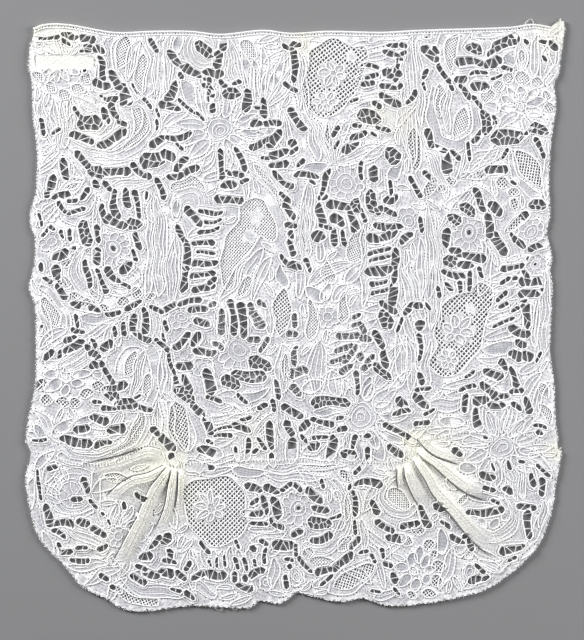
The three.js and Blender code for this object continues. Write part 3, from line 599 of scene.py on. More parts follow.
stains = [
    [150, 462, 34, 1.0], [167, 490, 30, 0.75], [120, 482, 26, 0.6], [430, 462, 34, 0.9],
    [410, 482, 26, 0.75], [455, 490, 26, 0.5], [110, 452, 18, 0.5], [62, 40, 26, 0.55],
    [36, 30, 12, 0.7], [552, 32, 20, 0.65], [303, 43, 15, 0.7], [404, 120, 18, 0.5],
    [382, 115, 16, 0.55], [362, 510, 22, 0.35], [92, 125, 26, 0.3], [556, 450, 12, 0.8],
    [100, 545, 28, 0.3], [490, 540, 30, 0.25], [250, 440, 26, 0.25], [210, 60, 20, 0.2],
]


# node building

def addNode(tree, kind, settings=None, **inputs):
    node = tree.nodes.new(kind)
    for key, value in (settings or {}).items():
        setattr(node, key, value)
    for key, value in inputs.items():
        socket = next(s for s in node.inputs if s.name.replace(" ", "") == key and s.enabled)
        if isinstance(value, bpy.types.NodeSocket):
            tree.links.new(value, socket)
        else:
            socket.default_value = value
    return node


def maths(tree, operation, a, b=0.0, clamp=False):
    node = tree.nodes.new("ShaderNodeMath")
    node.operation, node.use_clamp = operation, clamp
    for socket, value in zip(node.inputs, (a, b)):
        if isinstance(value, bpy.types.NodeSocket):
            tree.links.new(value, socket)
        else:
            socket.default_value = value
    return node.outputs[0]


def mixColour(tree, amount, a, b):
    node = tree.nodes.new("ShaderNodeMix")
    node.data_type = "RGBA"
    for socket, value in zip((node.inputs[0], node.inputs[6], node.inputs[7]), (amount, a, b)):
        if isinstance(value, bpy.types.NodeSocket):
            tree.links.new(value, socket)
        elif socket is node.inputs[0]:
            socket.default_value = value
        else:
            socket.default_value = (*value, 1) if len(value) == 3 else value
    return node.outputs[2]


def sharedGroup(name, inputs, outputs):
    group = bpy.data.node_groups.new(name, "ShaderNodeTree")
    for label, kind, value in inputs:
        socket = group.interface.new_socket(label, in_out="INPUT", socket_type=kind)
        if value is not None:
            socket.default_value = value
    for label, kind in outputs:
        group.interface.new_socket(label, in_out="OUTPUT", socket_type=kind)
    return group, group.nodes.new("NodeGroupInput"), group.nodes.new("NodeGroupOutput")


def weaveGroup():
    # linen stitch: worker threads across passives, from a direction in millimetres
    group, start, end = sharedGroup("linen_stitch", [
        ("Place", "NodeSocketVector", None), ("Passives", "NodeSocketFloat", 1.0),
        ("Workers", "NodeSocketFloat", 1.0)], [("Height", "NodeSocketFloat"), ("Open", "NodeSocketFloat")])
    split = addNode(group, "ShaderNodeSeparateXYZ", Vector=start.outputs["Place"])
    drift = addNode(group, "ShaderNodeTexNoise", Vector=start.outputs["Place"], Scale=0.35, Detail=2.0)
    sway = maths(group, "MULTIPLY", drift.outputs["Fac"], 2.4)
    u = maths(group, "MULTIPLY", maths(group, "ADD", split.outputs[0], sway), start.outputs["Workers"])
    v = maths(group, "MULTIPLY", maths(group, "ADD", split.outputs[1], sway), start.outputs["Passives"])
    waves = []
    for value in (u, v):
        wave = maths(group, "SINE", maths(group, "MULTIPLY", value, 2 * math.pi))
        waves.append(maths(group, "MULTIPLY_ADD", wave, 0.5))
        waves[-1].node.inputs[2].default_value = 0.5
    height = maths(group, "ADD", maths(group, "MULTIPLY", waves[0], 0.4),
                   maths(group, "MULTIPLY", waves[1], 0.6))
    opened = maths(group, "MULTIPLY", maths(group, "SUBTRACT", 1.0, waves[0]),
                   maths(group, "SUBTRACT", 1.0, waves[1]))
    group.links.new(height, end.inputs["Height"])
    group.links.new(opened, end.inputs["Open"])
    return group


linenStitch = weaveGroup()


def attribute(tree, name, output="Fac"):
    node = tree.nodes.new("ShaderNodeAttribute")
    node.attribute_name = name
    return node.outputs[output]


def laceMaterial(name, look):
    # look: body and edge colours, cream, the painted shade colour for the weave's gaps, passives and workers
    # to the millimetre, bump in metres
    material = bpy.data.materials.new(name)
    material.use_nodes = True
    tree = material.node_tree
    shader = tree.nodes["Principled BSDF"]
    place = addNode(tree, "ShaderNodeVectorMath", {"operation": "SCALE"})
    if look.get("grain", True):
        uv = tree.nodes.new("ShaderNodeUVMap")
        uv.uv_map = "grain"
        tree.links.new(uv.outputs[0], place.inputs[0])
        place.inputs["Scale"].default_value = 1.0
    else:
        coord = tree.nodes.new("ShaderNodeTexCoord")
        tree.links.new(coord.outputs["Object"], place.inputs[0])
        place.inputs["Scale"].default_value = 1000.0
    coord = tree.nodes.new("ShaderNodeTexCoord").outputs["Object"]
    weave = tree.nodes.new("ShaderNodeGroup")
    weave.node_tree = linenStitch
    tree.links.new(place.outputs[0], weave.inputs["Place"])
    weave.inputs["Passives"].default_value = look["passives"]
    weave.inputs["Workers"].default_value = look["workers"]
    patchy = addNode(tree, "ShaderNodeTexNoise", Vector=coord, Scale=62.0, Detail=3.0, Roughness=0.6)
    fine = addNode(tree, "ShaderNodeTexNoise", Vector=coord, Scale=900.0, Detail=2.0)
    edge = maths(tree, "POWER", attribute(tree, "near"), look.get("edgePower", 1.6))
    tone = attribute(tree, "tone")
    body = mixColour(tree, tone, look["body"], look["dark"])
    colour = mixColour(tree, edge, body, look["edge"])
    mottle = maths(tree, "MULTIPLY", patchy.outputs["Fac"], look.get("mottle", 0.35))
    colour = mixColour(tree, mottle, colour, look["edge"])
    cream = maths(tree, "MULTIPLY", attribute(tree, "cream"),
                  maths(tree, "ADD", patchy.outputs["Fac"], 0.45), clamp=True)
    colour = mixColour(tree, cream, colour, look["cream"])
    # Painted shade: the open gaps of the weave are darkened towards a dark colour, less so near the edges of
    # holes and not on the cream folds.
    shade = maths(tree, "MULTIPLY", weave.outputs["Open"],
                  maths(tree, "MULTIPLY_ADD", edge, -0.75 * look["open"]))
    shade.node.inputs[1].links[0].from_node.inputs[2].default_value = look["open"]
    shade = maths(tree, "MULTIPLY", shade, maths(tree, "SUBTRACT", 1.0, attribute(tree, "cream"), clamp=True))
    colour = mixColour(tree, shade, colour, look["pit"])
    tree.links.new(colour, shader.inputs["Base Color"])
    shader.inputs["Roughness"].default_value = 0.9
    shader.inputs["Specular IOR Level"].default_value = 0.12
    relief = maths(tree, "ADD", maths(tree, "MULTIPLY", weave.outputs["Height"], 1.0),
                   maths(tree, "MULTIPLY", fine.outputs["Fac"], 0.5))
    bump = addNode(tree, "ShaderNodeBump", Height=relief, Strength=look.get("strength", 0.6),
                   Distance=look["bump"])
    tree.links.new(bump.outputs[0], shader.inputs["Normal"])
    return material


threadLook = {
    "body": (0.93, 0.93, 0.94), "dark": (0.76, 0.76, 0.79), "edge": (0.96, 0.96, 0.965),
    "cream": (0.96, 0.945, 0.865), "pit": (0.60, 0.60, 0.64), "passives": 1.6, "workers": 2.2,
    "open": 0.08, "bump": 0.00012, "grain": False, "mottle": 0.3,
}
toileLook = {
    "body": (0.81, 0.81, 0.835), "dark": (0.50, 0.50, 0.54), "edge": (0.94, 0.94, 0.95),
    "cream": (0.95, 0.935, 0.845), "pit": (0.20, 0.20, 0.24), "passives": 0.72, "workers": 0.42,
    "open": 0.42, "bump": 0.00026, "mottle": 0.26, "edgePower": 2.2,
}
toile = laceMaterial("linen_toile", toileLook)
thread = laceMaterial("linen_thread", threadLook)
# pleat_shadow is a near-black thread: painted shadow, for the dark lines beside the folds' edges where a fold
# would cast shade
shadowThread = laceMaterial("pleat_shadow", threadLook | {
    "body": (0.16, 0.16, 0.16), "edge": (0.20, 0.20, 0.20), "dark": (0.12, 0.12, 0.12),
    "cream": (0.28, 0.27, 0.24)})
greyThread = laceMaterial("net_thread", threadLook | {
    "body": (0.88, 0.88, 0.9), "edge": (0.92, 0.92, 0.94), "dark": (0.78, 0.78, 0.8)})
tapeCloth = laceMaterial("tape_weave", toileLook | {
    "body": (0.96, 0.955, 0.91), "dark": (0.94, 0.935, 0.88), "edge": (0.97, 0.965, 0.93),
    "pit": (0.80, 0.79, 0.73), "passives": 1.4, "workers": 1.4, "open": 0.2, "grain": False, "mottle": 0.25})


# cloth from an outline and its gaps

def inAnyHole(points, holes):
    hit = np.zeros(len(points), bool)
    for hole in holes:
        hit |= insidePolygon(points, hole)
    return hit


def triangulate(ring, cells, nets, solid, spacing):
    # triangles between the outline and the gaps; flowers stay solid inside the nets
    holes = cells + nets
    low, high = ring.min(0), ring.max(0)
    columns = np.arange(low[0], high[0], spacing)
    rows = np.arange(low[1], high[1], spacing * 0.87)
    grid = np.array([[x + (spacing / 2 if j % 2 else 0), y] for j, y in enumerate(rows) for x in columns])
    grid += draws.uniform(-0.2, 0.2, grid.shape) * spacing
    if ring[:, 1].max() > 560:
        rows = np.arange(440, 575, 1.7)
        finer = np.array([[x, y] for y in rows for x in np.arange(80, 500, 1.9)])
        finer += draws.uniform(-0.3, 0.3, finer.shape)
        beside = np.zeros(len(finer), bool)
        for fold, t, u, along, breadth in foldPlaces(finer):
            beside |= (t > -0.05) & (t < 1.02) & (u * breadth > -2.5) & (u * breadth < 1.1)
        finer = finer[onFold(finer, 1.05) & ~beside]
        rims = [np.vstack([path + across * shift for shift in (1.6, 0.8, -0.1)])
                for path, across in ((p, np.column_stack([-g[:, 1], g[:, 0]]) / np.hypot(*g.T)[:, None])
                                     for p, g in ((p, np.gradient(p, axis=0)) for p in map(
                                         lambda f: smoothPath(f, 1.8), foldPaths)))]
        grid = np.vstack([grid[~onFold(grid, 1.05)], finer] + rims)
    grid = grid[insidePolygon(grid, ring)]
    corners = np.vstack([ring] + holes + solid)
    bins = set()
    for shift in ((0, 0), (1, 0), (0, 1), (1, 1)):
        for cell in np.floor(corners / 2 + np.array(shift) - 0.5).astype(int):
            bins.add((cell[0], cell[1]))
    clear = np.array([(c, r) not in bins for c, r in np.floor(grid / 2).astype(int)])
    grid = grid[clear]
    inOpening = inAnyHole(grid, cells) | (inAnyHole(grid, nets) & ~inAnyHole(grid, solid))
    grid = grid[~inOpening]
    faces, first = [], 0
    for polygon in [ring] + holes + solid:
        numbers = list(range(first, first + len(polygon)))
        x, y = polygon.T
        faces.append(numbers if x @ np.roll(y, -1) > y @ np.roll(x, -1) else numbers[::-1])
        first += len(polygon)
    places = [Vector(p) for p in np.vstack([corners, grid])]
    found = delaunay_2d_cdt(places, [], faces, 1, 1e-4, True)
    flat = np.array([[v.x, v.y] for v in found[0]])
    netFrom, solidFrom = 1 + len(cells), 1 + len(holes)

    def kept(source):
        if 0 not in source or any(0 < n < netFrom for n in source):
            return False
        return not any(netFrom <= n < solidFrom for n in source) or any(n >= solidFrom for n in source)

    triangles = np.array([f for f, source in zip(found[2], found[5]) if kept(source)])
    area = np.cross(flat[triangles[:, 1]] - flat[triangles[:, 0]],
                    flat[triangles[:, 2]] - flat[triangles[:, 0]])
    triangles[area > 0] = triangles[area > 0][:, ::-1]      # rows count down, so this faces up
    return flat, triangles[np.abs(area) > 1e-6]


pieces = []


def piece(name, mesh):
    obj = bpy.data.objects.new(name, mesh)
    bpy.context.scene.collection.objects.link(obj)
    pieces.append(obj)
    return obj


def clothObject(name, ring, cells, nets, spacing, material, border=False, wall=None, height=None,
                regions=(), solid=()):
    flat, triangles = triangulate(np.asarray(ring), list(cells), list(nets), list(solid), spacing)
    used = np.unique(triangles)
    renumber = np.full(len(flat), -1)
    renumber[used] = np.arange(len(used))
    flat, triangles = flat[used], renumber[triangles]
    count = len(flat)
    edges = np.vstack([triangles[:, [0, 1]], triangles[:, [1, 2]], triangles[:, [2, 0]]])
    keys = edges[:, 0].astype(np.int64) * count + edges[:, 1]
    back = edges[:, 1].astype(np.int64) * count + edges[:, 0]
    rim = edges[~np.isin(keys, back)]
    near = np.zeros(count)
    near[np.unique(rim)] = 1
    under = restHeight(flat, border) if height is None else height(flat)
    thick = wall or drape["wall"]
    xy = toMetres(flat)
    bottom = np.column_stack([xy, under])
    top = np.column_stack([xy, under + thick])
    verts = np.vstack([bottom, top])
    walls = np.column_stack([rim[:, 1] + count, rim[:, 0] + count, rim[:, 0], rim[:, 1]])
    faces = (triangles + count).tolist() + triangles[:, ::-1].tolist() + walls.tolist()
    mesh = bpy.data.meshes.new(name)
    mesh.from_pydata(verts.tolist(), [], faces)
    tone, grain = grainOf(flat, triangles, regions)
    loops = np.zeros((len(mesh.loops), 2))
    corners = grain.reshape(-1, 3, 2)
    loops[:len(triangles) * 3] = corners.reshape(-1, 2)
    loops[len(triangles) * 3:len(triangles) * 6] = corners[:, ::-1].reshape(-1, 2)
    wallXy = toMetres(flat)[(walls % count)].reshape(-1, 2) * 1000
    loops[len(triangles) * 6:] = wallXy
    layer = mesh.uv_layers.new(name="grain")
    layer.data.foreach_set("uv", loops.astype(np.float32).ravel())
    for label, values in (("near", near), ("cream", creamOf(flat))):
        data = mesh.attributes.new(label, "FLOAT", "POINT")
        data.data.foreach_set("value", np.concatenate([values, values]).astype(np.float32))
    data = mesh.attributes.new("tone", "FLOAT", "FACE")
    tones = np.concatenate([tone, tone, np.zeros(len(walls))])
    data.data.foreach_set("value", tones.astype(np.float32))
    mesh.materials.append(material)
    mesh.update()
    mesh.validate()
    mesh.polygons.foreach_set("use_smooth", [True] * len(mesh.polygons))
    mesh.set_sharp_from_angle(angle=0.6)
    obj = piece(name, mesh)
    area = 0.5 * np.abs(np.cross(xy[triangles[:, 1]] - xy[triangles[:, 0]],
                                 xy[triangles[:, 2]] - xy[triangles[:, 0]])).sum()
    print(name, "triangles", len(triangles) * 2 + len(walls) * 2, "area", round(area, 4))
    return obj, area


grainCentres = np.array([
    [62, 60], [130, 130], [205, 50], [219, 129], [333, 75], [478, 46], [521, 104], [404, 110], [113, 249],
    [189, 204], [256, 217], [346, 183], [470, 234], [531, 250], [180, 335], [239, 351], [300, 300],
    [328, 318],
    [458, 330], [65, 380], [150, 380], [361, 417], [501, 448], [260, 420], [74, 495], [120, 540], [210, 507],
    [297, 509], [399, 496], [495, 516], [350, 560], [440, 565], [266, 585], [95, 180], [90, 320], [400, 300],
], float)


def grainOf(flat, triangles, regions):
    # tone of each triangle and the direction of its threads, in millimetres along and across
    middles = flat[triangles].mean(axis=1)
    tone = 0.3 + 0.25 * np.sin(middles[:, 0] * 0.09) * np.sin(middles[:, 1] * 0.07)
    corners = flat[triangles]
    offsets = middles[:, None] - grainCentres
    nearest = grainCentres[np.hypot(offsets[:, :, 0], offsets[:, :, 1]).argmin(1)]
    out = corners - nearest[:, None]
    middleTurn = np.arctan2(middles[:, 1] - nearest[:, 1], middles[:, 0] - nearest[:, 0])
    turn = np.arctan2(out[:, :, 1], out[:, :, 0]) - middleTurn[:, None]
    turn = (turn + np.pi) % (2 * np.pi) - np.pi + middleTurn[:, None]
    grain = np.stack([np.hypot(out[:, :, 0], out[:, :, 1]) * 0.65, turn * 15], axis=2)
    for region in regions:
        inside = insidePolygon(middles, region["ring"])
        if not inside.any() or len(region["ring"]) < 5 or not region["outline"]:
            continue
        tone[inside] = region["tone"] * (0.75 + 0.5 * math.sin(region["path"][0][0] * 1.7) ** 2)
        points = flat[triangles[inside]].reshape(-1, 2)
        along, aside, _ = alongPath(points, region["path"])
        shift = (region["path"][0][0] * 7.3) % 5
        grain[inside] = np.column_stack([along * 0.65 + shift, aside * 0.65]).reshape(-1, 3, 2)
    return tone, grain


# cords from edges

def cordTree():
    tree = bpy.data.node_groups.new("cord", "GeometryNodeTree")
    tree.interface.new_socket("Geometry", in_out="INPUT", socket_type="NodeSocketGeometry")
    for label, kind, value in (("Radius", "NodeSocketFloat", 0.0003), ("Sides", "NodeSocketInt", 5),
                               ("Material", "NodeSocketMaterial", None)):
        socket = tree.interface.new_socket(label, in_out="INPUT", socket_type=kind)
        if value is not None:
            socket.default_value = value
    tree.interface.new_socket("Geometry", in_out="OUTPUT", socket_type="NodeSocketGeometry")
    start, end = tree.nodes.new("NodeGroupInput"), tree.nodes.new("NodeGroupOutput")
    curve = addNode(tree, "GeometryNodeMeshToCurve", Mesh=start.outputs["Geometry"])
    ring = addNode(tree, "GeometryNodeCurvePrimitiveCircle", Resolution=start.outputs["Sides"],
                   Radius=start.outputs["Radius"])
    thick = addNode(tree, "GeometryNodeInputNamedAttribute", {"data_type": "FLOAT"}, Name="thick")
    tube = addNode(tree, "GeometryNodeCurveToMesh", Curve=curve.outputs[0],
                   ProfileCurve=ring.outputs["Curve"], Scale=thick.outputs["Attribute"], FillCaps=True)
    smooth = addNode(tree, "GeometryNodeSetShadeSmooth", Geometry=tube.outputs[0])
    paint = addNode(tree, "GeometryNodeSetMaterial", Geometry=smooth.outputs[0],
                    Material=start.outputs["Material"])
    tree.links.new(paint.outputs[0], end.inputs[0])
    return tree


cords = cordTree()


def applyNodes(obj, tree, values):
    modifier = obj.modifiers.new("nodes", "NODES")
    modifier.node_group = tree
    for item in tree.interface.items_tree:
        if item.item_type == "SOCKET" and item.in_out == "INPUT" and item.name in values:
            modifier[item.identifier] = values[item.name]
    graph = bpy.context.evaluated_depsgraph_get()
    graph.update()
    made = bpy.data.meshes.new_from_object(obj.evaluated_get(graph), preserve_all_data_layers=True,
                                           depsgraph=graph)
    obj.modifiers.remove(modifier)
    obj.data = made
    return obj


def cordObject(name, lines, radius, material, sides=5):
    # lines: [places in metres (n×3), thickness scale (n), cream (n)]
    verts, edges, thick, cream = [], [], [], []
    first = 0
    for points, scale, tint in lines:
        verts.append(points)
        thick.append(np.broadcast_to(scale, len(points)))
        cream.append(np.broadcast_to(tint, len(points)))
        edges += [(first + i, first + i + 1) for i in range(len(points) - 1)]
        first += len(points)
    mesh = bpy.data.meshes.new(name)
    mesh.from_pydata(np.vstack(verts).tolist(), edges, [])
    for label, values in (("thick", thick), ("cream", cream)):
        data = mesh.attributes.new(label, "FLOAT", "POINT")
        data.data.foreach_set("value", np.concatenate(values).astype(np.float32))
    obj = piece(name, mesh)
    applyNodes(obj, cords, {"Radius": radius, "Sides": sides, "Material": material})
    print(name, "triangles", sum(len(p.vertices) - 2 for p in obj.data.polygons))
    return obj


def splitRuns(keep):
    # stretches of a path where keep is true, as lists of numbers
    runs, current = [], []
    for i, ok in enumerate(keep):
        if ok:
            current.append(i)
        elif current:
            runs.append(current)
            current = []
    if current:
        runs.append(current)
    return [run for run in runs if len(run) > 1]


# motifs

motifs = []      # ring, path, tone, net pitch or none


def addMotif(ring, path, tone=0.5, net=None, outline=1.0, lines=()):
    motifs.append({"ring": swayed(ring), "path": swayed(path), "tone": tone,
                   "net": net, "outline": outline, "lines": [swayed(line) for line in lines]})


def banded(path, halves):
    # ring round a path with half widths along it
    step = np.gradient(path, axis=0)
    step /= np.maximum(np.hypot(*step.T), 1e-6)[:, None]
    across = np.column_stack([-step[:, 1], step[:, 0]])
    halves = np.asarray(halves, float)[:, None]
    return np.vstack([path + across * halves, (path - across * halves)[::-1]])


def leaf(x0, y0, x1, y1, width, bow=0.0, kind="vein", tone=0.5, pitch=2.2):
    path = bowed(x0, y0, x1, y1, bow, 14)
    t = np.linspace(0, 1, 14)
    ring = banded(path, width / 2 * np.sin(np.pi * t ** 0.85) ** 0.7 + 0.15)
    lines = []
    if kind == "vein":
        lines = [path[2:12]]
    if kind == "double":
        inner = banded(path, width / 2 * np.sin(np.pi * t ** 0.85) ** 0.7 * 0.5 + 0.05)
        lines = [np.vstack([inner[1:-1], inner[1:2]]), path[3:11]]
    addMotif(ring, path, tone, pitch if kind == "net" else None, lines=lines)


def circle(column, row, radius, count=20):
    turn = np.linspace(0, 2 * np.pi, count, endpoint=False)
    return np.column_stack([column + radius * np.cos(turn), row + radius * np.sin(turn)])


def rosette(column, row, radius, hole=0.0, tone=0.4):
    # round petals side by side about a ring or two
    lobes = max(6, round(radius * 0.65))
    turn = np.linspace(0, 2 * np.pi, lobes * 6, endpoint=False)
    reach = radius * (0.84 + 0.22 * np.abs(np.sin(turn * lobes / 2)) ** 0.6)
    ring = np.column_stack([column + reach * np.cos(turn), row + reach * np.sin(turn)])
    rings = [circle(column, row, radius * share, 16) for share in ((0.52, 0.28) if radius > 11 else (0.45,))]
    lines = [np.vstack([r, r[:1]]) for r in rings]
    if radius > 8:
        ends = [2 * np.pi * k / lobes for k in range(lobes)]
        lines += [np.array([[column + radius * share * math.cos(end), row + radius * share * math.sin(end)]
                            for share in (0.54, 0.7, 0.84)]) for end in ends]
    addMotif(ring, ring, tone, lines=lines)
    if hole:
        pierced.append(swayed(circle(column, row, hole / 2, 8)))


def petals(column, row, count, inner, outer, width, start=0.0, sweep=360.0, kind="vein", tone=0.5, bow=0.0):
    for i in range(count):
        turn = math.radians(start + sweep * i / (count if sweep == 360 else max(1, count - 1)))
        far = outer * (1 + 0.05 * math.sin(i * 2.3))
        leaf(column + inner * math.cos(turn), row + inner * math.sin(turn),
             column + far * math.cos(turn), row + far * math.sin(turn), width, bow, kind, tone)


def scroll(points, tone=0.55, net=None, line=0.55):
    points = smoothPath(points, 3.0)
    path, halves = points[:, :2], points[:, 2]
    lines = [banded(path, halves * line)] if line else []
    addMotif(banded(path, halves), path, tone, net, lines=[np.vstack([l, l[:1]]) for l in lines])


pierced = []

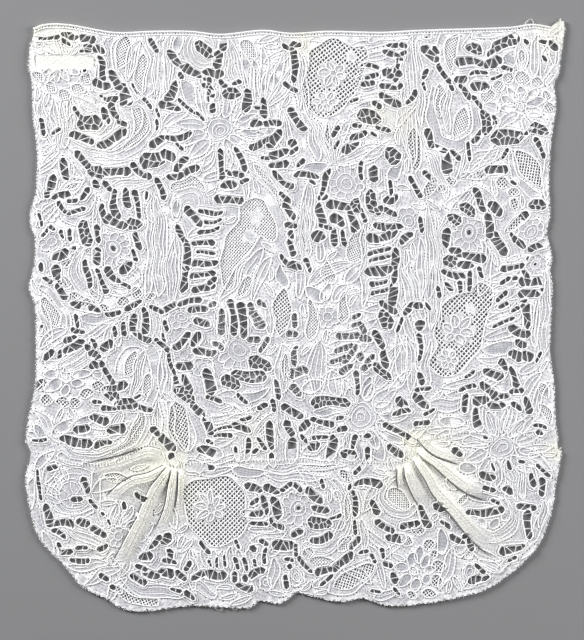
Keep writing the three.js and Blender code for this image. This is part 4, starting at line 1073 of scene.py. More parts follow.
# Leaves and petals: column, row, column, row, breadth, bow, and what fills them
# (0 plain, 1 veined, 2 doubled, 3 close toile, 4 fine net, 5 open net).
leaves = [
    # heading, left
    [58, 54, 36, 42, 7, 1, 1], [60, 54, 44, 36, 6, 1, 1], [62, 54, 52, 34, 5, 0, 0],
    [70, 54, 80, 44, 5, 1, 1], [66, 54, 92, 36, 6, 2, 1], [36, 42, 46, 46, 7, 0, 4],
    [57, 68, 41, 72, 7, 0, 3], [57, 70, 49, 82, 8, 0, 3], [59, 71, 58, 84, 7, 0, 3],
    [61, 70, 70, 80, 8, 0, 3], [62, 68, 80, 72, 7, 0, 3], [34, 71, 43, 82, 10, 0, 4],
    [45, 85, 57, 92, 11, 0, 4], [59, 91, 71, 98, 11, 0, 4], [71, 84, 84, 92, 11, 0, 4],
    [80, 75, 92, 82, 11, 0, 4], [60, 150, 40, 98, 10, -3, 2], [62, 150, 52, 97, 9, -1, 1],
    [63, 150, 61, 101, 7, 0, 1], [65, 150, 70, 99, 9, 2, 1], [52, 140, 50, 114, 9, 0, 3],
    [66, 135, 76, 112, 8, -2, 1], [56, 150, 40, 146, 6, 1, 2], [58, 144, 40, 153, 5, 0, 1],
    [86, 92, 124, 88, 9, 6, 1], [72, 96, 110, 116, 9, 4, 1], [74, 100, 104, 123, 7, 4, 1],
    [96, 134, 112, 114, 8, -2, 2], [112, 130, 122, 114, 6, 1, 1], [100, 138, 124, 124, 7, 3, 1],
    [126, 38, 118, 68, 17, -2, 4], [143, 52, 141, 95, 12, 2, 4], [139, 40, 127, 84, 9, 2, 2],
    [163, 33, 160, 112, 17, -2, 2], [157, 34, 155, 100, 5, 0, 1], [168, 38, 166, 96, 5, 0, 1],
    [178, 34, 178, 52, 9, 0, 3], [170, 34, 168, 60, 6, 1, 1], [183, 80, 206, 123, 13, 0, 3],
    [62, 190, 80, 184, 6, 0, 4], [58, 196, 86, 180, 14, -2, 2], [70, 162, 86, 180, 9, 2, 1],
    [64, 158, 74, 178, 7, -2, 1], [106, 186, 166, 178, 11, 2, 2], [112, 196, 150, 184, 7, 2, 1],
    [60, 160, 36, 176, 8, 2, 1], [60, 152, 40, 164, 7, 1, 1], [44, 200, 36, 180, 7, 1, 1],
    [176, 198, 176, 216, 9, 0, 3], [92, 158, 140, 162, 7, 3, 1], [188, 112, 160, 128, 9, 2, 1],
    [30, 96, 36, 132, 7, -1, 1], [190, 172, 214, 150, 8, 2, 1], [88, 66, 96, 80, 6, 0, 3],
    # heading, middle
    [248, 98, 229, 38, 15, -3, 2], [250, 100, 243, 50, 10, 2, 3], [256, 104, 254, 58, 11, 0, 3],
    [261, 104, 263, 48, 9, 1, 0], [264, 104, 274, 62, 11, 0, 3], [266, 106, 296, 62, 10, 3, 2],
    [266, 104, 284, 50, 9, 2, 3], [262, 62, 300, 42, 10, 3, 2], [242, 39, 257, 57, 13, 0, 4],
    [258, 44, 286, 31, 8, 0, 1], [217, 76, 216, 100, 9, 0, 3], [238, 84, 228, 60, 9, 0, 2],
    [236, 112, 233, 97, 7, 0, 3], [236, 119, 263, 111, 9, 0, 3], [240, 132, 283, 134, 12, -2, 3],
    [240, 145, 290, 152, 10, 2, 1], [242, 150, 296, 168, 9, 2, 1], [240, 158, 282, 192, 9, -2, 1],
    [292, 156, 284, 108, 13, -3, 2], [318, 160, 302, 112, 10, 3, 1], [356, 80, 400, 64, 8, 3, 1],
    [354, 90, 398, 81, 8, 2, 3], [352, 98, 396, 93, 8, 2, 1], [350, 108, 382, 104, 9, 2, 3],
    [348, 116, 366, 112, 7, 1, 1], [358, 60, 396, 48, 8, 3, 1], [350, 46, 392, 38, 8, 2, 1],
    [336, 128, 368, 122, 12, 2, 3], [334, 140, 362, 134, 8, 1, 1], [330, 166, 306, 112, 8, 3, 1],
    [330, 166, 317, 120, 7, 1, 1], [331, 166, 327, 122, 7, 0, 5], [331, 166, 338, 122, 8, -1, 1],
    [332, 166, 350, 118, 9, -3, 1], [302, 170, 328, 166, 14, 0, 3], [306, 114, 297, 48, 9, 2, 1],
    [246, 162, 292, 210, 15, -4, 2], [252, 164, 282, 206, 7, -2, 4], [308, 240, 308, 182, 16, 0, 2],
    [332, 166, 392, 147, 15, -2, 2], [388, 182, 402, 162, 13, 0, 3], [240, 165, 248, 200, 8, -1, 1],
    [356, 168, 392, 140, 8, 0, 1], [300, 110, 290, 70, 5, 1, 1], [226, 176, 230, 150, 9, 0, 1],
    [204, 180, 240, 178, 9, -6, 1], [368, 186, 372, 180, 5, 0, 3],
    # heading, right
    [412, 168, 412, 34, 16, -3, 2], [406, 150, 405, 60, 7, -2, 1], [421, 128, 418, 40, 6, 1, 1],
    [456, 32, 450, 72, 15, 2, 4], [521, 72, 520, 40, 14, 0, 2], [520, 64, 521, 47, 8, 0, 4],
    [534, 76, 537, 34, 9, 0, 1], [542, 80, 556, 36, 12, -1, 1], [500, 76, 514, 50, 13, 0, 3],
    [487, 72, 502, 76, 8, 0, 3], [470, 37, 504, 35, 9, -2, 1], [480, 95, 494, 95, 12, 0, 4],
    [491, 87, 505, 87, 11, 0, 4], [502, 79, 516, 79, 13, 0, 4], [516, 77, 531, 77, 13, 0, 4],
    [530, 82, 544, 83, 12, 0, 4], [540, 96, 552, 96, 12, 0, 4], [544, 108, 555, 108, 10, 0, 4],
    [516, 109, 500, 107, 9, 0, 3], [516, 105, 499, 97, 9, 0, 3], [518, 102, 508, 88, 10, 0, 3],
    [522, 101, 521, 84, 10, 0, 3], [525, 102, 536, 89, 10, 0, 3], [527, 105, 545, 102, 9, 0, 3],
    [526, 109, 544, 115, 9, 0, 3], [500, 112, 482, 104, 10, 2, 1], [518, 114, 498, 131, 9, 2, 1],
    [522, 116, 528, 132, 9, 0, 1], [528, 114, 548, 124, 9, -1, 1], [440, 84, 438, 120, 12, -1, 4],
    [464, 108, 454, 138, 14, -2, 4], [448, 88, 450, 134, 10, 3, 2], [462, 178, 470, 148, 8, 0, 1],
    [455, 182, 456, 152, 7, 0, 1], [446, 200, 428, 150, 11, 2, 2], [414, 128, 415, 174, 13, 0, 5],
    [462, 173, 508, 148, 14, -3, 2], [466, 180, 510, 168, 8, -2, 1], [435, 190, 446, 190, 10, 0, 5],
    [446, 182, 458, 182, 10, 0, 5], [460, 176, 473, 176, 9, 0, 5], [476, 174, 489, 175, 9, 0, 5],
    [497, 182, 509, 183, 11, 0, 5], [507, 193, 518, 193, 10, 0, 5], [509, 204, 520, 205, 10, 0, 5],
    [450, 212, 476, 184, 14, 4, 2], [446, 204, 474, 192, 12, 2, 3], [474, 188, 500, 216, 14, -3, 1],
    [546, 200, 547, 140, 7, 0, 0], [424, 196, 436, 176, 10, 0, 5], [552, 66, 556, 36, 8, 0, 1],
    [480, 172, 500, 140, 8, -1, 1], [394, 126, 418, 98, 9, 1, 1], [396, 118, 412, 106, 6, 0, 3],
    # left
    [96, 244, 96, 196, 9, 1, 1], [147, 298, 150, 200, 9, 3, 1], [158, 298, 157, 196, 14, 3, 2],
    [152, 224, 152, 196, 8, 0, 3], [176, 220, 176, 200, 10, 0, 3], [180, 260, 177, 222, 9, 0, 1],
    [172, 304, 176, 236, 14, -2, 2], [99, 299, 92, 270, 11, -3, 3], [102, 276, 126, 298, 13, -3, 3],
    [60, 263, 72, 263, 11, 0, 5], [60, 283, 72, 283, 11, 0, 5], [68, 295, 80, 295, 10, 0, 5],
    [81, 303, 93, 304, 9, 0, 5], [99, 307, 112, 307, 9, 0, 5], [117, 303, 130, 302, 9, 0, 5],
    [131, 293, 144, 292, 11, 0, 5], [68, 254, 80, 252, 9, 0, 5], [84, 250, 96, 252, 7, 0, 4],
    [145, 296, 156, 296, 9, 0, 5], [80, 316, 122, 313, 11, 5, 3], [66, 330, 38, 348, 8, 2, 1],
    [70, 340, 40, 360, 7, 1, 1], [60, 366, 146, 303, 7, -6, 1], [104, 350, 110, 324, 8, 0, 1],
    [118, 347, 121, 320, 8, 0, 1], [130, 338, 128, 308, 7, 0, 1], [139, 330, 138, 306, 8, 0, 1],
    [152, 338, 148, 304, 9, 1, 2], [62, 368, 92, 346, 7, -2, 1], [64, 372, 110, 353, 9, -3, 2],
    [60, 360, 76, 328, 7, 1, 1], [56, 358, 46, 342, 7, 0, 1], [59, 370, 45, 361, 10, 0, 3],
    [57, 376, 42, 375, 9, 0, 3], [60, 381, 45, 390, 10, 0, 3], [66, 384, 63, 398, 9, 0, 3],
    [71, 382, 84, 385, 9, 0, 3], [72, 374, 91, 372, 9, 0, 3], [36, 384, 48, 385, 11, 0, 5],
    [42, 398, 54, 400, 12, 0, 5], [55, 403, 70, 404, 11, 0, 5], [69, 402, 83, 402, 9, 0, 5],
    [81, 395, 95, 394, 9, 0, 5], [91, 386, 105, 387, 12, 0, 5], [91, 374, 104, 374, 9, 0, 3],
    [134, 350, 124, 379, 14, -2, 4], [150, 372, 146, 398, 12, 1, 4], [146, 350, 133, 398, 10, 2, 2],
    [163, 398, 163, 346, 8, -1, 1], [154, 300, 166, 346, 9, 3, 2], [189, 236, 220, 228, 8, -4, 1],
    [189, 245, 220, 238, 7, -3, 1], [189, 256, 218, 248, 8, -3, 1], [189, 265, 218, 257, 7, -3, 1],
    [189, 275, 216, 266, 7, -3, 1], [190, 286, 216, 279, 8, -3, 1], [190, 300, 216, 290, 9, -3, 1],
    [198, 310, 216, 300, 8, -2, 1], [36, 300, 52, 340, 8, -2, 1], [60, 205, 34, 226, 9, 2, 1],
    [70, 290, 40, 276, 8, 3, 1], [116, 262, 142, 284, 10, -6, 1],
    # middle
    [304, 262, 304, 202, 12, 1, 2], [304, 250, 304, 220, 5, 0, 4], [300, 270, 283, 200, 10, 2, 1],
    [262, 250, 238, 300, 14, 3, 1], [270, 258, 252, 300, 11, 3, 1], [220, 300, 246, 258, 9, 2, 1],
    [281, 336, 283, 288, 19, 0, 5], [284, 290, 280, 262, 10, 0, 3], [348, 262, 362, 228, 20, 2, 4],
    [330, 286, 327, 260, 13, 0, 4], [308, 342, 312, 298, 12, 2, 4], [342, 324, 346, 292, 11, -1, 4],
    [322, 302, 306, 286, 13, 1, 3], [332, 302, 348, 284, 12, 0, 1], [322, 300, 328, 284, 10, 0, 3],
    [318, 262, 322, 240, 10, 0, 1], [344, 282, 366, 262, 14, 0, 1], [300, 300, 300, 262, 10, 0, 1],
    [366, 236, 398, 214, 9, 3, 1], [366, 246, 396, 224, 8, 3, 3], [366, 256, 400, 240, 8, 3, 1],
    [366, 272, 392, 258, 9, 3, 1], [366, 282, 390, 272, 7, 2, 1], [366, 290, 392, 282, 7, 2, 1],
    [366, 300, 394, 292, 8, 2, 1], [364, 308, 364, 212, 8, 1, 1], [330, 336, 378, 318, 9, 6, 3],
    [326, 345, 376, 329, 9, 6, 1], [326, 355, 370, 341, 9, 6, 3], [324, 366, 362, 350, 10, 5, 1],
    [322, 376, 356, 361, 9, 5, 3], [240, 327, 239, 303, 9, 0, 3], [226, 346, 213, 306, 7, 3, 1],
    [284, 392, 284, 342, 17, 0, 2], [286, 380, 284, 352, 8, 0, 4], [318, 398, 322, 338, 18, -3, 2],
    [302, 392, 324, 380, 13, 0, 3], [340, 396, 330, 372, 12, 0, 1], [232, 398, 268, 388, 10, 5, 3],
    [214, 400, 250, 414, 12, -8, 1], [268, 300, 270, 340, 10, 0, 1], [308, 284, 352, 262, 11, -3, 2],
    # right
    [430, 332, 427, 206, 14, 4, 2], [438, 330, 436, 212, 6, 3, 1], [421, 300, 420, 236, 9, 2, 1],
    [430, 300, 433, 264, 9, 0, 3], [424, 330, 402, 268, 8, -3, 1], [424, 320, 410, 262, 7, -2, 1],
    [420, 346, 398, 300, 9, -3, 1], [486, 280, 524, 264, 9, 3, 1], [488, 291, 522, 277, 8, 3, 1],
    [488, 300, 520, 287, 8, 3, 3], [488, 309, 520, 297, 8, 3, 1], [486, 318, 520, 305, 8, 3, 1],
    [486, 327, 520, 314, 8, 3, 3], [484, 338, 522, 325, 9, 3, 1], [482, 348, 526, 340, 12, 4, 3],
    [478, 360, 514, 353, 9, 3, 1], [540, 362, 545, 272, 15, 2, 2], [534, 350, 537, 300, 7, 1, 1],
    [480, 296, 488, 246, 12, 2, 1], [472, 290, 464, 262, 10, 0, 1], [452, 296, 452, 270, 11, 0, 1],
    [440, 388, 502, 363, 10, 5, 1], [446, 396, 508, 373, 9, 5, 1], [412, 392, 409, 336, 9, 0, 1],
    [402, 382, 396, 330, 10, 2, 1], [424, 394, 430, 340, 10, -1, 1], [541, 384, 549, 400, 9, 0, 4],
    [520, 372, 544, 358, 9, 0, 1], [486, 262, 484, 240, 8, 0, 3], [440, 250, 446, 214, 8, 0, 1],
    [376, 392, 402, 344, 14, -3, 2], [388, 392, 410, 372, 9, 0, 1], [520, 262, 498, 270, 8, -3, 1],
    [364, 312, 392, 300, 8, 3, 1], [520, 214, 504, 232, 9, -2, 5], [456, 214, 440, 240, 7, 2, 1],
    # foot of the panel
    [64, 434, 124, 424, 10, 6, 3], [92, 441, 130, 422, 7, 4, 1], [70, 427, 97, 413, 12, 2, 3],
    [52, 436, 73, 417, 12, 2, 3], [46, 440, 34, 424, 9, 0, 3], [112, 430, 122, 412, 9, 0, 2],
    [157, 442, 158, 400, 8, 0, 1], [176, 402, 186, 454, 22, 2, 5], [60, 445, 34, 410, 9, 2, 1],
    [226, 422, 262, 406, 12, 3, 1], [206, 418, 252, 412, 9, 3, 1], [214, 433, 250, 424, 9, 2, 1],
    [206, 445, 236, 438, 8, 1, 1], [252, 436, 276, 412, 12, 3, 2], [260, 452, 276, 420, 9, 2, 1],
    [284, 440, 280, 400, 9, 0, 1], [296, 452, 286, 412, 9, -2, 1], [232, 462, 258, 440, 9, 2, 1],
    [206, 460, 244, 452, 7, 3, 1], [312, 410, 346, 410, 9, 1, 3], [316, 430, 350, 418, 12, 0, 1],
    [308, 440, 312, 416, 8, 0, 2], [300, 452, 328, 444, 10, 0, 1], [346, 425, 336, 450, 12, 2, 3],
    [348, 408, 322, 404, 10, 0, 1], [354, 402, 342, 380, 11, 0, 1], [364, 400, 370, 376, 11, 0, 3],
    [374, 406, 396, 388, 12, 0, 1], [378, 414, 408, 416, 12, 1, 3], [376, 424, 404, 446, 13, -1, 3],
    [368, 432, 384, 460, 14, 1, 3], [360, 434, 362, 462, 11, 0, 3], [352, 431, 342, 452, 9, 0, 1],
    [440, 420, 466, 424, 12, 0, 3], [420, 404, 470, 398, 11, 5, 1], [428, 430, 472, 428, 8, 2, 1],
    [404, 438, 436, 412, 9, 3, 1], [488, 442, 450, 440, 12, 0, 2], [490, 438, 468, 420, 10, 0, 1],
    [494, 434, 484, 406, 11, 0, 1], [501, 433, 500, 402, 12, 0, 1], [508, 434, 514, 404, 11, 0, 1],
    [514, 438, 536, 412, 12, -1, 1], [516, 444, 548, 428, 10, -1, 1], [518, 450, 550, 448, 9, 0, 1],
    [516, 456, 546, 468, 10, 1, 1], [540, 404, 552, 424, 9, 0, 4], [522, 402, 540, 372, 11, -2, 1],
    [534, 420, 548, 380, 8, -2, 1],
    # border, left
    [54, 452, 34, 470, 9, 0, 3], [56, 462, 42, 482, 9, 0, 1], [34, 476, 30, 510, 7, 1, 0],
    [118, 478, 92, 492, 14, 0, 3], [102, 474, 130, 479, 9, 0, 4], [100, 502, 92, 474, 10, 0, 3],
    [104, 545, 55, 518, 16, 2, 2], [106, 548, 60, 529, 9, 2, 1], [106, 556, 62, 548, 10, -2, 3],
    [110, 561, 66, 567, 9, -2, 1], [120, 566, 84, 586, 10, 1, 1], [126, 580, 104, 600, 9, 0, 1],
    [108, 528, 98, 508, 9, 0, 1], [114, 524, 116, 504, 8, 0, 1], [122, 524, 132, 506, 7, 0, 1],
    [130, 578, 150, 571, 7, 0, 3], [130, 560, 118, 578, 8, 0, 1], [52, 560, 44, 530, 8, 0, 0],
    [150, 540, 146, 560, 7, 0, 1], [176, 530, 166, 496, 8, 0, 1], [182, 584, 190, 548, 10, 0, 1],
    # border, middle
    [190, 468, 232, 470, 9, 2, 1], [230, 472, 264, 472, 11, 0, 3], [262, 470, 345, 466, 14, -3, 2],
    [262, 474, 330, 478, 7, 2, 1], [300, 468, 340, 466, 5, 0, 4], [258, 508, 246, 486, 8, 0, 1],
    [246, 506, 272, 494, 8, 2, 1], [246, 517, 278, 508, 9, 3, 1], [250, 530, 284, 520, 10, 3, 1],
    [250, 540, 286, 533, 9, 3, 1], [192, 550, 196, 596, 9, 1, 1], [204, 548, 206, 570, 7, 0, 1],
    [213, 548, 213, 571, 7, 0, 1], [222, 550, 222, 572, 7, 0, 1], [231, 548, 232, 570, 7, 0, 1],
    [240, 550, 240, 574, 7, 0, 1], [249, 548, 250, 568, 7, 0, 1], [259, 552, 260, 568, 8, 0, 1],
    [270, 556, 284, 540, 9, 0, 1], [272, 590, 276, 556, 10, 0, 1], [298, 468, 322, 486, 9, 3, 1],
    [336, 492, 340, 504, 10, 0, 3], [332, 530, 344, 520, 12, 0, 3], [304, 546, 330, 545, 9, -3, 1],
    [302, 556, 316, 552, 11, 0, 4], [310, 562, 336, 563, 11, 0, 4], [338, 552, 350, 536, 10, 0, 4],
    [345, 520, 352, 490, 8, 0, 4], [338, 560, 372, 584, 9, 0, 1], [334, 588, 374, 566, 18, 0, 5],
    [330, 592, 376, 562, 26, 0, 0], [362, 512, 352, 478, 6, 0, 1], [362, 512, 376, 482, 9, 1, 1],
    [364, 500, 388, 476, 8, 0, 1], [362, 520, 366, 552, 9, 0, 1], [364, 530, 392, 560, 9, -3, 1],
    [364, 490, 346, 470, 9, 0, 1], [380, 560, 402, 540, 8, 0, 1], [370, 545, 384, 590, 8, -2, 1],
    [374, 600, 400, 590, 8, 0, 1], [290, 570, 302, 582, 10, 0, 2], [340, 470, 348, 480, 9, 0, 5],
    [314, 586, 330, 574, 8, 0, 3],
    # border, right
    [415, 552, 408, 566, 9, 0, 3], [418, 562, 420, 546, 9, 0, 3], [422, 566, 430, 554, 10, 0, 3],
    [424, 571, 436, 570, 10, 0, 3], [422, 577, 432, 584, 10, 0, 3], [416, 579, 416, 592, 9, 0, 3],
    [410, 577, 400, 586, 10, 0, 3], [408, 570, 394, 568, 9, 0, 3], [412, 530, 426, 530, 11, 0, 5],
    [422, 546, 434, 545, 10, 0, 5], [430, 556, 440, 552, 9, 0, 5], [432, 568, 445, 567, 12, 0, 5],
    [431, 582, 444, 581, 11, 0, 5], [422, 592, 436, 594, 8, 0, 5], [408, 593, 418, 596, 7, 0, 5],
    [400, 540, 414, 544, 9, 0, 4], [390, 488, 408, 510, 14, 0, 4], [440, 530, 444, 556, 12, 0, 3],
    [452, 552, 466, 548, 9, 0, 0], [466, 560, 474, 552, 10, 0, 3], [464, 574, 476, 570, 13, 0, 3],
    [454, 548, 440, 590, 9, 0, 1], [462, 590, 490, 570, 8, 0, 1], [480, 560, 502, 572, 12, 0, 2],
    [470, 548, 500, 560, 9, 0, 1], [478, 520, 488, 526, 12, 0, 3], [492, 520, 500, 526, 11, 0, 3],
    [502, 520, 510, 510, 10, 0, 3], [500, 502, 508, 508, 9, 0, 3], [460, 470, 476, 468, 12, 0, 3],
    [470, 496, 500, 500, 8, 0, 3], [486, 468, 478, 494, 9, 0, 1], [498, 462, 500, 494, 11, 0, 1],
    [508, 462, 518, 500, 12, 1, 2], [518, 464, 524, 498, 11, 0, 2], [526, 458, 536, 490, 11, 0, 1],
    [530, 452, 552, 470, 11, 1, 1], [544, 500, 542, 530, 8, 0, 1], [456, 504, 470, 494, 8, 0, 4],
    [430, 520, 440, 514, 8, 0, 1], [540, 540, 520, 560, 7, -1, 0],
]
# Bands that widen and narrow: places with half breadths, and the filling as above.
scrolls = [
    [[(66, 138, 2.5), (78, 150, 5), (98, 157, 6), (120, 155, 8), (138, 146, 11), (150, 130, 11),
      (151, 113, 9), (142, 103, 6), (132, 106, 3)], 2],
    [[(134, 105, 3), (140, 115, 6.5), (141, 128, 7), (134, 141, 5), (122, 149, 2.5)], 4],
    [[(112, 70, 3), (106, 57, 4.5), (108, 43, 5), (120, 35, 4), (136, 34, 4), (149, 42, 5),
      (154, 58, 5), (153, 76, 5), (149, 91, 4), (141, 96, 2.5)], 0],
    [[(172, 191, 2.5), (177, 185, 4.5), (188, 181, 5), (199, 184, 4.5), (205, 190, 2.5)], 4],
    [[(449, 74, 3), (441, 62, 4), (440, 46, 4), (446, 35, 3.5), (458, 31, 3)], 0],
    [[(436, 88, 3), (431, 105, 4), (432, 125, 5), (442, 141, 5), (458, 146, 5), (472, 137, 5),
      (477, 120, 5), (473, 105, 4), (465, 98, 2)], 0],
    [[(516, 153, 3), (524, 159, 7), (531, 170, 9), (537, 181, 6), (541, 189, 2)], 5],
    [[(510, 150, 2), (512, 165, 3), (517, 180, 4), (529, 192, 4), (542, 197, 2)], 0],
    [[(62, 204, 3), (67, 216, 5), (79, 221, 6), (91, 215, 5), (96, 202, 2)], 2],
    [[(84, 246, 3), (77, 258, 5), (76, 276, 6), (85, 291, 6), (102, 299, 4)], 2],
    [[(98, 262, 2), (103, 280, 3.5), (116, 292, 5), (132, 289, 4.5), (142, 278, 2)], 2],
    [[(42, 298, 2.5), (47, 307, 6), (53, 317, 6), (57, 328, 2.5)], 4],
    [[(38, 286, 2.5), (54, 296, 3), (66, 314, 3), (68, 328, 2)], 0],
    [[(112, 374, 3), (112, 356, 5), (122, 344, 5), (138, 341, 5), (150, 350, 5), (157, 368, 5),
      (156, 388, 5), (148, 404, 4)], 0],
    [[(60, 444, 2.5), (76, 455, 4.5), (98, 459, 5.5), (120, 452, 7.5), (138, 438, 11), (146, 424, 10),
      (143, 412, 6), (133, 409, 3)], 2],
    [[(140, 412, 3), (141, 421, 6.5), (137, 432, 6.5), (127, 445, 4.5), (112, 453, 2.5)], 4],
    [[(170, 402, 2.5), (171, 425, 4), (175, 446, 5), (187, 458, 5), (198, 450, 5), (201, 435, 5),
      (193, 415, 4), (180, 394, 3)], 0],
    [[(112, 556, 2), (122, 576, 4), (144, 590, 7), (170, 592, 7), (196, 586, 5), (216, 596, 3)], 2],
    [[(118, 588, 3), (128, 597, 4), (142, 602, 4), (158, 603, 3)], 5],
    [[(332, 480, 3), (343, 495, 5), (346, 515, 6), (341, 535, 5), (328, 549, 5), (312, 552, 4),
      (303, 543, 3)], 2],
    [[(384, 484, 2.5), (382, 498, 3), (390, 511, 4), (404, 515, 4), (414, 506, 2.5)], 0],
    [[(40, 486, 3), (42, 505, 4), (56, 515, 4), (76, 518, 3), (92, 512, 2)], 0],
    [[(508, 496, 3), (515, 512, 5), (509, 530, 6), (494, 538, 6), (478, 530, 4)], 2],
    [[(546, 500, 2.5), (538, 530, 4), (520, 552, 4), (496, 570, 3)], 0],
]
# Open fillings round flowers, with the mesh in squares.
patches = [
    [[(308, 54), (318, 44), (336, 40), (352, 47), (366, 46), (369, 57), (364, 75), (356, 92),
      (346, 102), (338, 114), (328, 119), (316, 114), (305, 106), (302, 92), (306, 76)], 3.4],
    [[(243, 203), (257, 199), (267, 206), (275, 222), (278, 239), (268, 242), (261, 236), (252, 249),
      (240, 262), (236, 280), (228, 291), (221, 279), (220, 256), (225, 240), (236, 225), (240, 212)], 2.3],
    [[(446, 302), (455, 294), (470, 291), (481, 283), (491, 291), (492, 305), (485, 322), (482, 344),
      (474, 360), (461, 370), (446, 376), (433, 372), (430, 361), (438, 345), (433, 337), (437, 320)], 3.4],
    [[(186, 485), (204, 478), (228, 478), (244, 490), (244, 512), (250, 524), (238, 536), (222, 545),
      (206, 543), (192, 532), (186, 510)], 3.2],
    [[(236, 296), (239, 284), (248, 276), (251, 284), (244, 295)], 2.3],
]
# Close flowers standing in the open fillings: column, row, radius.
flowers = [[333, 75, 14], [325, 102, 12], [256, 217, 8], [250, 236, 7], [458, 330, 16], [448, 360, 10],
           [210, 507, 16], [350, 56, 5], [470, 310, 6]]
# Round flowers: column, row, radius, and the pierced middle.
rosettes = [
    [346, 183, 17, 0], [113, 249, 17, 6], [51, 242, 11, 0], [48, 210, 12, 0], [180, 317, 12, 0],
    [184, 353, 11, 0], [470, 234, 17, 5], [531, 232, 12, 0], [537, 266, 11, 3], [407, 221, 12, 0],
    [239, 351, 20, 0], [328, 318, 11, 0], [203, 368, 11, 0], [297, 509, 17, 5], [296, 577, 9, 0],
    [266, 585, 7, 0], [118, 537, 11, 0], [460, 550, 8, 0], [470, 573, 8, 0], [65, 375, 7, 0],
    [412, 571, 5, 0], [521, 107, 4, 0], [384, 196, 6, 0], [262, 130, 4, 0],
]
# Star flowers: column, row, petals, inner and outer reach, breadth, first petal in degrees.
stars = [[219.5, 129.5, 14, 13, 46, 11, 8], [361, 417, 8, 15, 34, 12, 20], [501, 448, 12, 13, 40, 11, 10],
         [210, 507, 8, 4, 16, 6, 0], [333, 75, 6, 3, 14, 8, 10], [325, 102, 6, 3, 12, 7, 0],
         [458, 330, 6, 4, 16, 9, 15], [448, 360, 6, 2, 10, 6, 0], [120, 540, 9, 13, 26, 8, 150]]
# Turned lines of thread: column, row, radius, from and to in degrees.
turns = [
    [204, 50, 21, -20, 300], [204, 50, 17, -10, 320], [204, 50, 13, 0, 330], [219.5, 129.5, 4, 0, 360],
    [219.5, 129.5, 7, 0, 360], [219.5, 129.5, 11, 0, 360], [478, 46, 15, 70, 300], [478, 46, 11, 80, 280],
    [189, 204, 21, 180, 360], [189, 204, 17, 180, 360], [189, 204, 12, 170, 370], [361, 417, 9, 0, 360],
    [361, 417, 13, 0, 360], [361, 417, 4, 0, 360], [501, 448, 10, 0, 360],
    [501, 448, 12.5, 0, 360], [501, 448, 5, 0, 360],
    [74, 495, 13, 30, 390], [74, 495, 16, 40, 380], [74, 495, 21, 80, 330], [74, 495, 27, 80, 320],
    [74, 495, 33, 90, 250], [495, 516, 17, -60, 170], [495, 516, 20, -50, 160], [495, 516, 26, -30, 150],
    [322, 518, 27, -70, 120], [322, 518, 33, -70, 130], [399, 496, 16, 60, 330], [399, 496, 20, 60, 320],
    [120, 540, 14, 60, 300], [120, 540, 20, 90, 290], [521, 104, 24, 150, 400],
    [58, 62, 26, 20, 160], [65, 380, 22, 20, 200], [415, 568, 21, -90, 100],
    [90, 270, 26, 60, 200], [142, 250, 20, 0, 100],
]
spokes = [[74, 495, 3, 13, 7, 0]]

fills = {0: "plain", 1: "vein", 2: "double", 3: "plain", 4: "net", 5: "net"}
for polygon, mesh in patches:
    ring = smoothPath(polygon, 3.0, closed=True)
    addMotif(ring, ring[:1] + [[0, 0], [2, 0]], 0.5, min(mesh, 3.5))


def lobed(column, row, radius, lobes):
    turn = np.linspace(0, 2 * np.pi, lobes * 6, endpoint=False)
    reach = radius * (0.66 + 0.34 * np.abs(np.cos(turn * lobes / 2)) ** 0.7)
    return swayed(np.column_stack([column + reach * np.cos(turn), row + reach * np.sin(turn)]))


islands = [lobed(column, row, radius * 1.12, 5 + int(radius > 11) * 3) for column, row, radius in flowers]
for places, fill in scrolls:
    scroll(places, 0.45, {4: 2.2, 5: 2.8}.get(fill), 0.5 if fill == 2 else 0)
for column, row, radius, hole in rosettes:
    rosette(column, row, radius, hole)
for column, row, count, inner, outer, breadth, first in stars:
    petals(column, row, count, inner, outer, breadth, first)
for x0, y0, x1, y1, breadth, bow, fill in leaves:
    leaf(x0, y0, x1, y1, breadth, bow, fills[fill], 1.0 if fill == 3 else 0.4, 2.2 if fill == 4 else 2.8)
for column, row, radius, first, last in turns:
    turn = np.radians(np.linspace(first, last, max(8, int(radius * abs(last - first) / 110))))
    line = np.column_stack([column + radius * np.cos(turn), row + radius * np.sin(turn)])
    addMotif(line, line, outline=0, lines=[line])
for column, row, inner, outer, count, first in spokes:
    for i in range(count):
        turn = math.radians(first + 360 * i / count)
        way = np.array([math.cos(turn), math.sin(turn)])
        line = np.array([column, row]) + np.outer([inner, (inner + outer) / 2, outer], way)
        addMotif(line, line, outline=0, lines=[line])
print("motifs:", len(motifs))


# putting the lace together

def runShape(run, grow=0.0):
    fromColumn, fromRow, toColumn, toRow, width = run
    start, end = np.array([fromColumn, fromRow], float), np.array([toColumn, toRow], float)
    length = math.dist(start, end)
    along = (end - start) / length if length > 0.5 else np.array([1.0, 0.0])
    across = np.array([-along[1], along[0]])
    reach, half = length / 2 + width * 0.38 + grow, width / 2 + grow
    corner = min(reach, half) * 0.72
    corners = [(reach, half - corner), (reach - corner, half), (corner - reach, half),
               (-reach, half - corner), (-reach, corner - half), (corner - reach, -half),
               (reach - corner, -half), (reach, corner - half)]
    return np.array([(start + end) / 2 + along * u + across * v for u, v in corners])


def swayedRun(run, grow):
    return swayed(outlined(runShape(run, grow), 2.2))


def topHeight(points):
    inBorder = insidePolygon(points, borderRing)
    height = restHeight(points)
    if inBorder.any():
        height[inBorder] = restHeight(points[inBorder], True)
    return height + drape["wall"]


def outlined(ring, spacing=2.0):
    # closed path with points no further apart than the spacing
    points = []
    for a, b in zip(ring, np.roll(ring, -1, axis=0)):
        pieces = max(1, int(math.ceil(math.dist(a, b) / spacing)))
        points += [a + (b - a) * k / pieces for k in range(pieces)]
    return np.array(points + [points[0]])


